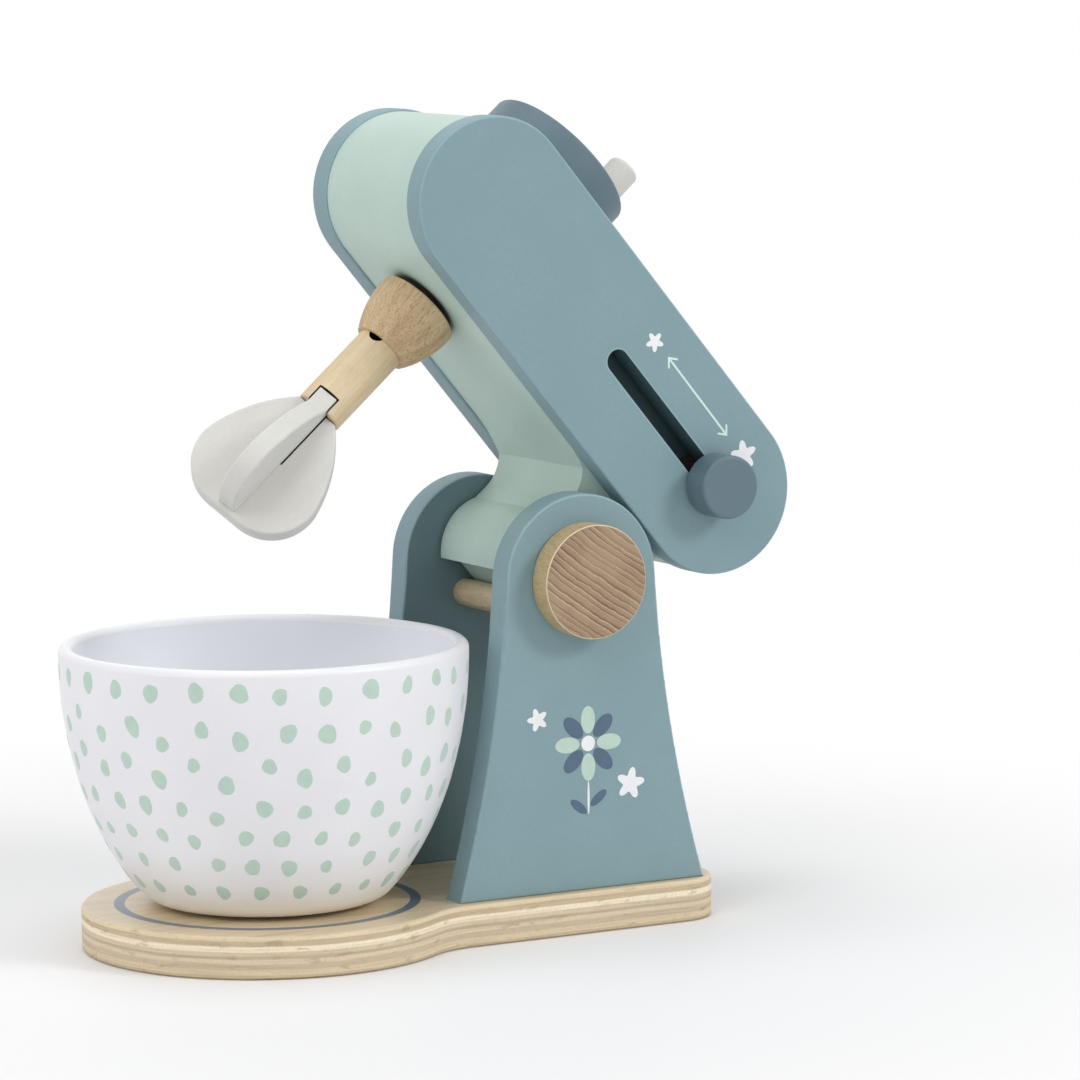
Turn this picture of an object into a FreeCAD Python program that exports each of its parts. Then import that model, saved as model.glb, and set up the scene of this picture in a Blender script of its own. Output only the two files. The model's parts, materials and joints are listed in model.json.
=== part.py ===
import FreeCAD, Part

import math
import os

from FreeCAD import Vector

# Wooden toy stand mixer: a plywood base carries two pillars, and the head tilts back
# between them on a wooden axle. A crank disc on the head turns the whisk, a knob slides
# in a slot of the near side panel, and a loose bowl stands on the round end of the base.
#
# Millimetres and degrees. +Z is up, the bowl lies towards -X and the slotted panel faces
# -Y. The origin is on the underside of the base, straight below the tilt axis. The head
# is drawn closed, lying level, and is then tilted to its open rest pose.

# ---------------------------------------------------------------- sizes: base and pillars

BASE_THICKNESS = 12.0
BASE_PLATE_X = -82.2
BASE_PLATE_RADIUS = 51.7
BASE_HALF_WIDTH = 37.0
BASE_REAR_X = 46.0
BASE_WAIST_RADIUS = 25.0
BASE_CORNER_RADIUS = 14.0
BASE_EDGE_ROUND = 1.0

PIVOT_HEIGHT = 100.0
PILLAR_THICKNESS = 9.0
PILLAR_TOP_RADIUS = 23.8
PILLAR_FOOT_HALF_LENGTH = 39.4
PILLAR_FLARE_RADIUS = 400.0
PILLAR_EDGE_ROUND = 0.7
PILLAR_GAP = 1.0  # between a pillar and the side of the head's core

SCREW_SPACING = 44.0
SCREW_LENGTH = 28.0
SCREW_RADIUS = 1.75
SCREW_HEAD_RADIUS = 3.5
SCREW_HEAD_HEIGHT = 2.4
SCREW_POINT = 3.0
SCREW_SINK = 0.5  # how deep the head lies in the underside

# ---------------------------------------------------------------- sizes: tilt axle and stop

OPEN_ANGLE = 50.0

AXLE_RADIUS = 4.0
CAP_RADIUS = 16.0
CAP_THICKNESS = 8.0
CAP_GAP = 0.2  # between a cap and its pillar
CAP_BORE_DEPTH = 6.0
CAP_EDGE_ROUND = 0.5

STOP_RADIUS = 4.0
STOP_GAP = 0.2  # left between the stop and the notch at both ends of the tilt
STOP_SEAT_DEPTH = 6.0
NOTCH_DROP = 5.8  # from the tilt axis down to the flat of the notch
NOTCH_SIDE_GAP = 0.3

# ---------------------------------------------------------------- sizes: head

HEAD_FRONT_X = -97.0
HEAD_REAR_X = 12.6
CORE_WIDTH = 48.0
CORE_INSET = 0.7
PANEL_THICKNESS = 8.0
PANEL_RADIUS = 23.8
PANEL_LIFT = 1.1  # gap between the pillar tops and the side panels
PANEL_EDGE_ROUND = 0.7

NECK_HALF_LENGTH = 14.4
NECK_COVE_RADIUS = 12.2
NECK_COVE_DROP = 11.1  # from the core's underside down to the cove's centre
NECK_CREASE_DROP = 1.75  # from the core's underside down to the crease above the cove
NECK_BLEND_LENGTH = 13.0  # the length over which the underside dips to the crease
NECK_REAR_RADIUS = 10.0
DRUM_RADIUS = 15.8
DRUM_RISE = 3.4  # centre of the drum above the tilt axis

LOCATING_DOWEL_RADIUS = 4.0
LOCATING_DOWEL_DEPTH_IN_CORE = 15.0
LOCATING_DOWEL_DEPTH_IN_PANEL = 5.0
LOCATING_DOWEL_REAR_INSET = 10.0  # from the rear end of the head

# ---------------------------------------------------------------- sizes: slider

SLOT_REAR_X = 10.1
SLIDER_TRAVEL = 47.4
STEM_RADIUS = 3.0
STEM_GAP = 0.4  # between the stem and the slot's sides and ends
KNOB_RADIUS = 9.0
KNOB_THICKNESS = 10.0
KNOB_GAP = 0.3
KNOB_BORE_DEPTH = 7.0
KNOB_EDGE_ROUND = 1.0
RETAINER_RADIUS = 7.0
RETAINER_THICKNESS = 4.0
RETAINER_GAP = 0.4
POCKET_SIDE_GAP = 0.8
POCKET_END_GAP = 1.6

# ---------------------------------------------------------------- sizes: crank and whisk

DRIVE_X = -78.8  # where the drive's axis crosses the head's centre line
DRIVE_LEAN = 1.1  # the drive leans back from square to the head, crank end to the front
DRIVE_SHAFT_RADIUS = 5.0
DISC_RADIUS = 23.2
DISC_THICKNESS = 10.0
DISC_GAP = 1.6
DISC_BORE_DEPTH = 8.0
DISC_EDGE_ROUND = 0.8

PEG_RADIUS = 4.7
PEG_OFFSET = 16.6
PEG_HEIGHT = 14.3
PEG_SEAT_DEPTH = 7.0
PEG_ROUND = 1.5

SOCKET_GAP = 2.0
SOCKET_RADIUS = 12.4
SOCKET_LAND = 3.0
SOCKET_LENGTH = 16.4
SOCKET_TIP_RADIUS = 8.2
SOCKET_BULGE = 0.9
SOCKET_EDGE_ROUND = 0.6
SOCKET_TOP_BORE_DEPTH = 7.0
SOCKET_WHISK_BORE_DEPTH = 8.5

WHISK_SHAFT_RADIUS = 7.0
WHISK_SHAFT_SHOWING = 26.2
WHISK_SHAFT_SEAT = 8.0
WHISK_SHAFT_EDGE_ROUND = 0.7
CROSS_HOLE_RADIUS = 2.5
CROSS_HOLE_SHOWING = 1.75
CROSS_HOLE_ANGLE = 219.0

BLADE_THICKNESS = 5.8
BLADE_HALF_WIDTH = 19.5
BLADE_REACH = 39.5  # from the shaft's end to the foot of the blade that has no tang
TANGED_BLADE_REACH = 38.0
HALVING_RISE = 20.6  # from the plain blade's foot to where the two slots meet
BLADE_CORNER_RADIUS = 14.0
BLADE_SHOULDER_RADIUS = 44.0
BLADE_EDGE_ROUND = 0.7
BLADE_ANGLE = 52.0
TANG_HEIGHT = 4.5
TANG_SLOT_GAP = 0.6
TIGHT_HALVING_GAP = 0.12  # each side of the lower half, where the blades are glued
LOOSE_HALVING_GAP = 0.5  # each side of the upper half
SHAFT_END_GAP = 0.5  # between the shaft's end and the blade that has no tang

# ---------------------------------------------------------------- sizes: bowl

BOWL_HEIGHT = 72.8
BOWL_RIM_RADIUS = 56.8
BOWL_HEEL_RADIUS = 32.1  # where the side would meet the underside without the heel's rounding
BOWL_HEEL_ROUND = 9.2
BOWL_FOOT_RADIUS = 26.0
BOWL_FOOT_BORE_RADIUS = 20.0
BOWL_FOOT_HEIGHT = 0.9
BOWL_WALL = 4.0
BOWL_FLOOR = 5.0
BOWL_FLOOR_ROUND = 8.0
BOWL_BELLY_REACH = 50.4  # horizontal half-axis of the elliptical side

# ---------------------------------------------------------------- fits

GLUE_GAP = 0.05  # radial gap round a glued dowel or shaft
RUNNING_GAP = 0.05  # radial gap round a shaft that turns
BLIND_GAP = 0.3  # left at the bottom of a blind hole

# ---------------------------------------------------------------- places that follow

CORE_HALF_WIDTH = CORE_WIDTH / 2
PANEL_OUTER_Y = CORE_HALF_WIDTH + PANEL_THICKNESS
PILLAR_INNER_Y = CORE_HALF_WIDTH + PILLAR_GAP
PILLAR_OUTER_Y = PILLAR_INNER_Y + PILLAR_THICKNESS
PILLAR_MID_Y = PILLAR_INNER_Y + PILLAR_THICKNESS / 2

HEAD_Z = PIVOT_HEIGHT + PILLAR_TOP_RADIUS + PANEL_LIFT + PANEL_RADIUS
CORE_RADIUS = PANEL_RADIUS - CORE_INSET
CORE_TOP_Z = HEAD_Z + CORE_RADIUS
CORE_UNDERSIDE_Z = HEAD_Z - CORE_RADIUS
DISC_LOW_Z = HEAD_Z + PANEL_RADIUS + DISC_GAP
DISC_TOP_Z = DISC_LOW_Z + DISC_THICKNESS
SOCKET_TOP_Z = CORE_UNDERSIDE_Z - SOCKET_GAP
SOCKET_LOW_Z = SOCKET_TOP_Z - SOCKET_LENGTH
WHISK_SHAFT_TOP_Z = SOCKET_LOW_Z + WHISK_SHAFT_SEAT
WHISK_SHAFT_END_Z = SOCKET_LOW_Z - WHISK_SHAFT_SHOWING

STOP_REACH = (NOTCH_DROP + STOP_GAP + STOP_RADIUS) / math.cos(math.radians(OPEN_ANGLE / 2))
STOP_X = -STOP_REACH * math.sin(math.radians(OPEN_ANGLE / 2))
STOP_Z = PIVOT_HEIGHT - STOP_REACH * math.cos(math.radians(OPEN_ANGLE / 2))
NOTCH_HALF_LENGTH = -STOP_X + STOP_RADIUS + NOTCH_SIDE_GAP

SLOT_FRONT_X = SLOT_REAR_X - SLIDER_TRAVEL
SLOT_RADIUS = STEM_RADIUS + STEM_GAP
POCKET_DEPTH = RETAINER_GAP + RETAINER_THICKNESS + BLIND_GAP
POCKET_RADIUS = RETAINER_RADIUS + POCKET_SIDE_GAP

TOLERANCE = 0.001


# ---------------------------------------------------------------- shared shape makers

def rod(radius, start, end):
    """A round bar from one point to another."""
    run = end.sub(start)
    return Part.makeCylinder(radius, run.Length, start, run)


def arc(centre, start, end):
    """The shorter arc about a centre, from start to end."""
    middle = start.sub(centre).add(end.sub(centre))
    middle.normalize()
    middle.multiply(start.sub(centre).Length)
    return Part.Arc(start, centre.add(middle), end).toShape()


def line(start, end):
    return Part.LineSegment(start, end).toShape()


def meeting_point(centre_a, radius_a, centre_b, radius_b):
    """The rightmost of the two points where two circles in an XZ plane meet."""
    run = centre_b.sub(centre_a)
    along = (radius_a ** 2 - radius_b ** 2 + run.Length ** 2) / (2 * run.Length)
    across = math.sqrt(radius_a ** 2 - along ** 2)
    foot = centre_a.add(Vector(run).multiply(along / run.Length))
    sideways = Vector(run.z, 0, -run.x).multiply(across / run.Length)
    return max(foot.add(sideways), foot.sub(sideways), key=lambda point: point.x)


def extruded(edges, run):
    return Part.Face(Part.Wire(edges)).extrude(run)


def stadium(front_x, rear_x, radius, low_y, high_y):
    """A board with two round ends on the head's centre line."""
    front_top = Vector(front_x, low_y, HEAD_Z + radius)
    front_low = Vector(front_x, low_y, HEAD_Z - radius)
    rear_top = Vector(rear_x, low_y, HEAD_Z + radius)
    rear_low = Vector(rear_x, low_y, HEAD_Z - radius)
    rear_end = Part.Arc(rear_top, Vector(rear_x + radius, low_y, HEAD_Z), rear_low).toShape()
    front_end = Part.Arc(front_low, Vector(front_x - radius, low_y, HEAD_Z), front_top).toShape()
    outline = [line(front_top, rear_top), rear_end, line(rear_low, front_low), front_end]
    return extruded(outline, Vector(0, high_y - low_y, 0))


def edges_in_plane(shape, axis, value):
    """The edges that lie flat in the plane axis = value."""
    found = []
    for edge in shape.Edges:
        box = edge.BoundBox
        low = getattr(box, axis + "Min")
        high = getattr(box, axis + "Max")
        if abs(low - value) < TOLERANCE and abs(high - value) < TOLERANCE:
            found.append(edge)
    return found


def rounded(shape, radius, axis, *values):
    """Round every edge that lies in one of the planes axis = value."""
    edges = []
    for value in values:
        edges.extend(edges_in_plane(shape, axis, value))
    return shape.makeFillet(radius, edges)


def turned(half_profile, x, y):
    """A solid of revolution about the upright line through x, y.

    The half profile is a closed list of edges in the XZ plane, with x as the radius.
    """
    face = Part.Face(Part.Wire(half_profile))
    solid = face.revolve(Vector(0, 0, 0), Vector(0, 0, 1), 360)
    solid.translate(Vector(x, y, 0))
    return solid


def mirrored(shape):
    """The same piece on the other side of the middle plane."""
    return shape.mirror(Vector(0, 0, 0), Vector(0, 1, 0))


def leaning(shape):
    """Lean a piece of the drive, drawn upright, about the head's centre line."""
    piece = shape.copy()
    piece.rotate(Vector(DRIVE_X, 0, HEAD_Z), Vector(0, 1, 0), -DRIVE_LEAN)
    return piece


def opened(shape):
    """Tilt a piece of the closed head to the open rest pose."""
    piece = shape.copy()
    piece.rotate(Vector(0, 0, PIVOT_HEIGHT), Vector(0, 1, 0), OPEN_ANGLE)
    return piece


# ---------------------------------------------------------------- base and pillars

def screw_places():
    places = []
    for x in (-SCREW_SPACING / 2, SCREW_SPACING / 2):
        for y in (-PILLAR_MID_Y, PILLAR_MID_Y):
            places.append(Vector(x, y, SCREW_SINK))
    return places


def screw(place, gap):
    """A countersunk wood screw pointing up; the gap makes it a hole for the same screw."""
    radius = SCREW_RADIUS + gap
    head_radius = SCREW_HEAD_RADIUS + gap
    top = place.z + SCREW_LENGTH + gap
    profile_points = [
        Vector(0, 0, place.z),
        Vector(head_radius, 0, place.z),
        Vector(radius, 0, place.z + SCREW_HEAD_HEIGHT),
        Vector(radius, 0, top - SCREW_POINT),
        Vector(0, 0, top),
    ]
    edges = []
    for index, point in enumerate(profile_points):
        edges.append(line(profile_points[index - 1], point))
    return turned(edges, place.x, place.y)


def screw_holes():
    """Clearance for the screws, open at the underside of the base."""
    holes = []
    for place in screw_places():
        mouth = Vector(place.x, place.y, 0)
        holes.append(rod(SCREW_HEAD_RADIUS + GLUE_GAP, mouth, place))
        holes.append(screw(place, GLUE_GAP))
    return holes[0].multiFuse(holes[1:])


def base_board():
    plate_centre = Vector(BASE_PLATE_X, 0, 0)
    centres_apart = BASE_PLATE_RADIUS + BASE_WAIST_RADIUS
    waist_y = BASE_HALF_WIDTH + BASE_WAIST_RADIUS
    waist_x = BASE_PLATE_X + math.sqrt(centres_apart ** 2 - waist_y ** 2)
    corner_x = BASE_REAR_X - BASE_CORNER_RADIUS
    corner_y = BASE_HALF_WIDTH - BASE_CORNER_RADIUS
    flank = []
    plate_ends = []
    for side in (-1, 1):
        waist_centre = Vector(waist_x, side * waist_y, 0)
        toward_waist = waist_centre.sub(plate_centre).normalize()
        plate_end = plate_centre.add(toward_waist.multiply(BASE_PLATE_RADIUS))
        side_start = Vector(waist_x, side * BASE_HALF_WIDTH, 0)
        side_end = Vector(corner_x, side * BASE_HALF_WIDTH, 0)
        rear_start = Vector(BASE_REAR_X, side * corner_y, 0)
        flank.append(arc(waist_centre, plate_end, side_start))
        flank.append(line(side_start, side_end))
        flank.append(arc(Vector(corner_x, side * corner_y, 0), side_end, rear_start))
        plate_ends.append(plate_end)
    nose = Vector(BASE_PLATE_X - BASE_PLATE_RADIUS, 0, 0)
    front = Part.Arc(plate_ends[0], nose, plate_ends[1]).toShape()
    rear = line(Vector(BASE_REAR_X, -corner_y, 0), Vector(BASE_REAR_X, corner_y, 0))
    edges = Part.__sortEdges__(flank + [front, rear])
    board = extruded(edges, Vector(0, 0, BASE_THICKNESS))
    board = rounded(board, BASE_EDGE_ROUND, "Z", 0, BASE_THICKNESS)
    return board.cut(screw_holes())


def pillar(side):
    """A pillar board with a round top and concave flanks that flare to the foot."""
    face_y = side * PILLAR_INNER_Y
    top_centre = Vector(0, face_y, PIVOT_HEIGHT)
    crown = Vector(0, face_y, PIVOT_HEIGHT + PILLAR_TOP_RADIUS)
    foot = Vector(PILLAR_FOOT_HALF_LENGTH, face_y, BASE_THICKNESS)
    reach = PILLAR_TOP_RADIUS + PILLAR_FLARE_RADIUS
    flare_centre = meeting_point(top_centre, reach, foot, PILLAR_FLARE_RADIUS)
    toward_flare = flare_centre.sub(top_centre).normalize()
    shoulder = top_centre.add(toward_flare.multiply(PILLAR_TOP_RADIUS))
    flank = arc(flare_centre, foot, shoulder)
    other_foot = Vector(-foot.x, foot.y, foot.z)
    other_shoulder = Vector(-shoulder.x, shoulder.y, shoulder.z)
    other_centre = Vector(-flare_centre.x, flare_centre.y, flare_centre.z)
    outline = [
        line(other_foot, foot),
        flank,
        Part.Arc(shoulder, crown, other_shoulder).toShape(),
        arc(other_centre, other_shoulder, other_foot),
    ]
    board = extruded(outline, Vector(0, side * PILLAR_THICKNESS, 0))
    board = rounded(board, PILLAR_EDGE_ROUND, "Y", face_y, side * PILLAR_OUTER_Y)
    bore = rod(AXLE_RADIUS + RUNNING_GAP, top_centre, Vector(0, side * PILLAR_OUTER_Y, PIVOT_HEIGHT))
    seat_end = side * (PILLAR_INNER_Y + STOP_SEAT_DEPTH + BLIND_GAP)
    seat_start = Vector(STOP_X, face_y, STOP_Z)
    stop_seat = rod(STOP_RADIUS + GLUE_GAP, seat_start, Vector(STOP_X, seat_end, STOP_Z))
    return board.cut(bore.multiFuse([stop_seat, screw_holes()]))


def pillar_screws():
    return Part.makeCompound([screw(place, 0) for place in screw_places()])


def stop_dowel():
    end_y = PILLAR_INNER_Y + STOP_SEAT_DEPTH
    return rod(STOP_RADIUS, Vector(STOP_X, -end_y, STOP_Z), Vector(STOP_X, end_y, STOP_Z))


# ---------------------------------------------------------------- tilt axle

def pivot_axle():
    end_y = PILLAR_OUTER_Y + CAP_GAP + CAP_BORE_DEPTH - BLIND_GAP
    return rod(AXLE_RADIUS, Vector(0, -end_y, PIVOT_HEIGHT), Vector(0, end_y, PIVOT_HEIGHT))


def pivot_cap():
    """The cap on the far side: a turned disc with a blind bore for the axle."""
    inner = Vector(0, PILLAR_OUTER_Y + CAP_GAP, PIVOT_HEIGHT)
    outer = inner.add(Vector(0, CAP_THICKNESS, 0))
    cap = rod(CAP_RADIUS, inner, outer)
    cap = rounded(cap, CAP_EDGE_ROUND, "Y", inner.y, outer.y)
    return cap.cut(rod(AXLE_RADIUS + GLUE_GAP, inner, inner.add(Vector(0, CAP_BORE_DEPTH, 0))))


# ---------------------------------------------------------------- head

def locating_dowel_places():
    rear_end = HEAD_REAR_X + PANEL_RADIUS
    return (HEAD_FRONT_X, rear_end - LOCATING_DOWEL_REAR_INSET)


def locating_dowel(x, side, gap, end_gap):
    inner = side * (CORE_HALF_WIDTH - LOCATING_DOWEL_DEPTH_IN_CORE - end_gap)
    outer = side * (CORE_HALF_WIDTH + LOCATING_DOWEL_DEPTH_IN_PANEL + end_gap)
    return rod(LOCATING_DOWEL_RADIUS + gap, Vector(x, inner, HEAD_Z), Vector(x, outer, HEAD_Z))


def locating_dowels(gap=0, end_gap=0):
    dowels = []
    for x in locating_dowel_places():
        for side in (-1, 1):
            dowels.append(locating_dowel(x, side, gap, end_gap))
    return dowels


def neck_front():
    """The neck's front from the drum's centre up to the underside, as a list of edges.

    The wall runs up into a cove, the cove ends in a crease, and from the crease a flat
    arc blends into the core's underside.
    """
    foot = Vector(-NECK_HALF_LENGTH, -CORE_HALF_WIDTH, PIVOT_HEIGHT + DRUM_RISE)
    cove_start = Vector(foot.x, foot.y, CORE_UNDERSIDE_Z - NECK_COVE_DROP)
    cove_centre = cove_start.sub(Vector(NECK_COVE_RADIUS, 0, 0))
    crease_rise = NECK_COVE_DROP - NECK_CREASE_DROP
    crease_reach = math.sqrt(NECK_COVE_RADIUS ** 2 - crease_rise ** 2)
    crease = cove_centre.add(Vector(crease_reach, 0, crease_rise))
    blend_end = Vector(crease.x - NECK_BLEND_LENGTH, foot.y, CORE_UNDERSIDE_Z)
    blend_radius = (NECK_BLEND_LENGTH ** 2 + NECK_CREASE_DROP ** 2) / (2 * NECK_CREASE_DROP)
    blend_centre = blend_end.sub(Vector(0, 0, blend_radius))
    top = Vector(blend_end.x, foot.y, HEAD_Z)
    return [
        line(foot, cove_start),
        arc(cove_centre, cove_start, crease),
        arc(blend_centre, crease, blend_end),
        line(blend_end, top),
    ]


def block_and_neck():
    """The level block with round ends, on a neck that is coved in front and behind."""
    block = stadium(HEAD_FRONT_X, HEAD_REAR_X, CORE_RADIUS, -CORE_HALF_WIDTH, CORE_HALF_WIDTH)
    front = neck_front()
    front_foot = front[0].Vertexes[0].Point
    front_top = front[-1].Vertexes[-1].Point
    rear_foot = Vector(NECK_HALF_LENGTH, front_foot.y, front_foot.z)
    rear_top = Vector(NECK_HALF_LENGTH, front_foot.y, HEAD_Z)
    closing = [line(front_foot, rear_foot), line(rear_foot, rear_top), line(rear_top, front_top)]
    neck = extruded(Part.__sortEdges__(front + closing), Vector(0, CORE_WIDTH, 0))
    joined = block.fuse(neck).removeSplitter()
    rear_corner = []
    for edge in joined.Edges:
        box = edge.BoundBox
        crosswise = box.YLength > CORE_WIDTH - TOLERANCE
        on_rear_wall = abs(box.Center.x - NECK_HALF_LENGTH) < TOLERANCE
        if crosswise and on_rear_wall and box.Center.z > front_foot.z + TOLERANCE:
            rear_corner.append(edge)
    return joined.makeFillet(NECK_REAR_RADIUS, rear_corner)


def slider_pocket():
    """The hollow in the core's near side where the slider's retainer runs."""
    pocket = stadium(
        SLOT_FRONT_X - POCKET_END_GAP,
        SLOT_REAR_X + POCKET_END_GAP,
        POCKET_RADIUS,
        -CORE_HALF_WIDTH,
        -CORE_HALF_WIDTH + POCKET_DEPTH,
    )
    return pocket


def head_core():
    """The block between the side panels, with the drum that turns on the axle."""
    drum_z = PIVOT_HEIGHT + DRUM_RISE
    drum = rod(DRUM_RADIUS, Vector(0, -CORE_HALF_WIDTH, drum_z), Vector(0, CORE_HALF_WIDTH, drum_z))
    core = block_and_neck().fuse(drum).removeSplitter()
    notch_top = PIVOT_HEIGHT - NOTCH_DROP
    notch = Part.makeBox(
        2 * NOTCH_HALF_LENGTH,
        CORE_WIDTH,
        DRUM_RADIUS,
        Vector(-NOTCH_HALF_LENGTH, -CORE_HALF_WIDTH, notch_top - DRUM_RADIUS),
    )
    axle_bore = rod(
        AXLE_RADIUS + GLUE_GAP,
        Vector(0, -CORE_HALF_WIDTH, PIVOT_HEIGHT),
        Vector(0, CORE_HALF_WIDTH, PIVOT_HEIGHT),
    )
    drive_bore = rod(
        DRIVE_SHAFT_RADIUS + RUNNING_GAP,
        drive_line(CORE_UNDERSIDE_Z - SOCKET_GAP),
        drive_line(CORE_TOP_Z + DISC_GAP),
    )
    holes = [notch, axle_bore, leaning(drive_bore), slider_pocket()]
    return core.cut(holes[0].multiFuse(holes[1:] + locating_dowels(GLUE_GAP, BLIND_GAP)))


def side_panel(side):
    inner = side * CORE_HALF_WIDTH
    outer = side * PANEL_OUTER_Y
    board = stadium(HEAD_FRONT_X, HEAD_REAR_X, PANEL_RADIUS, inner, outer)
    board = rounded(board, PANEL_EDGE_ROUND, "Y", inner, outer)
    return board.cut(Part.makeCompound(locating_dowels(GLUE_GAP, BLIND_GAP)))


def near_side_panel():
    slot = stadium(SLOT_FRONT_X, SLOT_REAR_X, SLOT_RADIUS, -PANEL_OUTER_Y, -CORE_HALF_WIDTH)
    return side_panel(-1).cut(slot)


# ---------------------------------------------------------------- slider

def slider_line(y):
    """The point of the slider's own axis at this y, with the slider at the slot's rear end."""
    return Vector(SLOT_REAR_X, y, HEAD_Z)


def slider_knob():
    inner = -PANEL_OUTER_Y - KNOB_GAP
    outer = inner - KNOB_THICKNESS
    knob = rod(KNOB_RADIUS, slider_line(inner), slider_line(outer))
    knob = rounded(knob, KNOB_EDGE_ROUND, "Y", inner, outer)
    return knob.cut(rod(STEM_RADIUS + GLUE_GAP, slider_line(inner), slider_line(inner - KNOB_BORE_DEPTH)))


def slider_retainer():
    """The disc behind the panel that keeps the slider in its slot."""
    outer = -CORE_HALF_WIDTH + RETAINER_GAP
    inner = outer + RETAINER_THICKNESS
    disc = rod(RETAINER_RADIUS, slider_line(outer), slider_line(inner))
    return disc.cut(rod(STEM_RADIUS + GLUE_GAP, slider_line(outer), slider_line(inner)))


def slider_stem():
    start = -PANEL_OUTER_Y - KNOB_GAP - KNOB_BORE_DEPTH + BLIND_GAP
    end = -CORE_HALF_WIDTH + RETAINER_GAP + RETAINER_THICKNESS
    return rod(STEM_RADIUS, slider_line(start), slider_line(end))


# ---------------------------------------------------------------- crank

def drive_line(z):
    """The point of the crank's and whisk's own axis at this height."""
    return Vector(DRIVE_X, 0, z)


def peg_line(z):
    return Vector(DRIVE_X + PEG_OFFSET, 0, z)


def drive_shaft():
    top = DISC_LOW_Z + DISC_BORE_DEPTH - BLIND_GAP
    low = SOCKET_TOP_Z - SOCKET_TOP_BORE_DEPTH + BLIND_GAP
    return rod(DRIVE_SHAFT_RADIUS, drive_line(low), drive_line(top))


def crank_disc():
    disc = rod(DISC_RADIUS, drive_line(DISC_LOW_Z), drive_line(DISC_TOP_Z))
    disc = rounded(disc, DISC_EDGE_ROUND, "Z", DISC_LOW_Z, DISC_TOP_Z)
    bore_end = drive_line(DISC_LOW_Z + DISC_BORE_DEPTH)
    bore = rod(DRIVE_SHAFT_RADIUS + GLUE_GAP, drive_line(DISC_LOW_Z), bore_end)
    peg_seat = rod(PEG_RADIUS + GLUE_GAP, peg_line(DISC_TOP_Z - PEG_SEAT_DEPTH), peg_line(DISC_TOP_Z))
    return disc.cut(bore.fuse(peg_seat))


def crank_peg():
    top = DISC_TOP_Z + PEG_HEIGHT
    peg = rod(PEG_RADIUS, peg_line(DISC_TOP_Z - PEG_SEAT_DEPTH + BLIND_GAP), peg_line(top))
    return rounded(peg, PEG_ROUND, "Z", top)


# ---------------------------------------------------------------- whisk

def whisk_socket():
    """The turned cone under the head: a straight land, then a slightly bulging taper."""
    land_end = Vector(SOCKET_RADIUS, 0, SOCKET_TOP_Z - SOCKET_LAND)
    tip = Vector(SOCKET_TIP_RADIUS, 0, SOCKET_LOW_Z)
    taper = tip.sub(land_end)
    outward = Vector(-taper.z, 0, taper.x).normalize()
    middle = land_end.add(tip).multiply(0.5).add(outward.multiply(SOCKET_BULGE))
    profile = [
        line(Vector(0, 0, SOCKET_TOP_Z), Vector(SOCKET_RADIUS, 0, SOCKET_TOP_Z)),
        line(Vector(SOCKET_RADIUS, 0, SOCKET_TOP_Z), land_end),
        Part.Arc(land_end, middle, tip).toShape(),
        line(tip, Vector(0, 0, SOCKET_LOW_Z)),
        line(Vector(0, 0, SOCKET_LOW_Z), Vector(0, 0, SOCKET_TOP_Z)),
    ]
    cone = rounded(turned(profile, DRIVE_X, 0), SOCKET_EDGE_ROUND, "Z", SOCKET_TOP_Z)
    shaft_bore = rod(
        DRIVE_SHAFT_RADIUS + GLUE_GAP,
        drive_line(SOCKET_TOP_Z - SOCKET_TOP_BORE_DEPTH),
        drive_line(SOCKET_TOP_Z),
    )
    whisk_bore = rod(
        WHISK_SHAFT_RADIUS + GLUE_GAP,
        drive_line(SOCKET_LOW_Z),
        drive_line(SOCKET_LOW_Z + SOCKET_WHISK_BORE_DEPTH),
    )
    return cone.cut(shaft_bore.fuse(whisk_bore))


def turned_to(shape, angle):
    """Turn a piece of the whisk about its own axis."""
    piece = shape.copy()
    piece.rotate(drive_line(0), Vector(0, 0, 1), angle)
    return piece


def tang_half_width():
    """Half the width of a blade's tang, flush with the round shaft at its corners."""
    return math.sqrt(WHISK_SHAFT_RADIUS ** 2 - (BLADE_THICKNESS / 2) ** 2) - GLUE_GAP


def whisk_shaft():
    """The round shaft, with a cross hole at the socket and a slot across its end."""
    shaft = rod(WHISK_SHAFT_RADIUS, drive_line(WHISK_SHAFT_END_Z), drive_line(WHISK_SHAFT_TOP_Z))
    shaft = rounded(shaft, WHISK_SHAFT_EDGE_ROUND, "Z", WHISK_SHAFT_END_Z, WHISK_SHAFT_TOP_Z)
    slot_width = BLADE_THICKNESS + 2 * TANG_SLOT_GAP
    slot = Part.makeBox(
        2 * WHISK_SHAFT_RADIUS,
        slot_width,
        TANG_HEIGHT + TANG_SLOT_GAP,
        Vector(DRIVE_X - WHISK_SHAFT_RADIUS, -slot_width / 2, WHISK_SHAFT_END_Z),
    )
    hole_z = SOCKET_LOW_Z + CROSS_HOLE_RADIUS - CROSS_HOLE_SHOWING
    reach = Vector(WHISK_SHAFT_RADIUS, 0, 0)
    hole = rod(CROSS_HOLE_RADIUS, drive_line(hole_z).sub(reach), drive_line(hole_z).add(reach))
    return shaft.cut(turned_to(slot, BLADE_ANGLE).fuse(turned_to(hole, CROSS_HOLE_ANGLE)))


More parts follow.
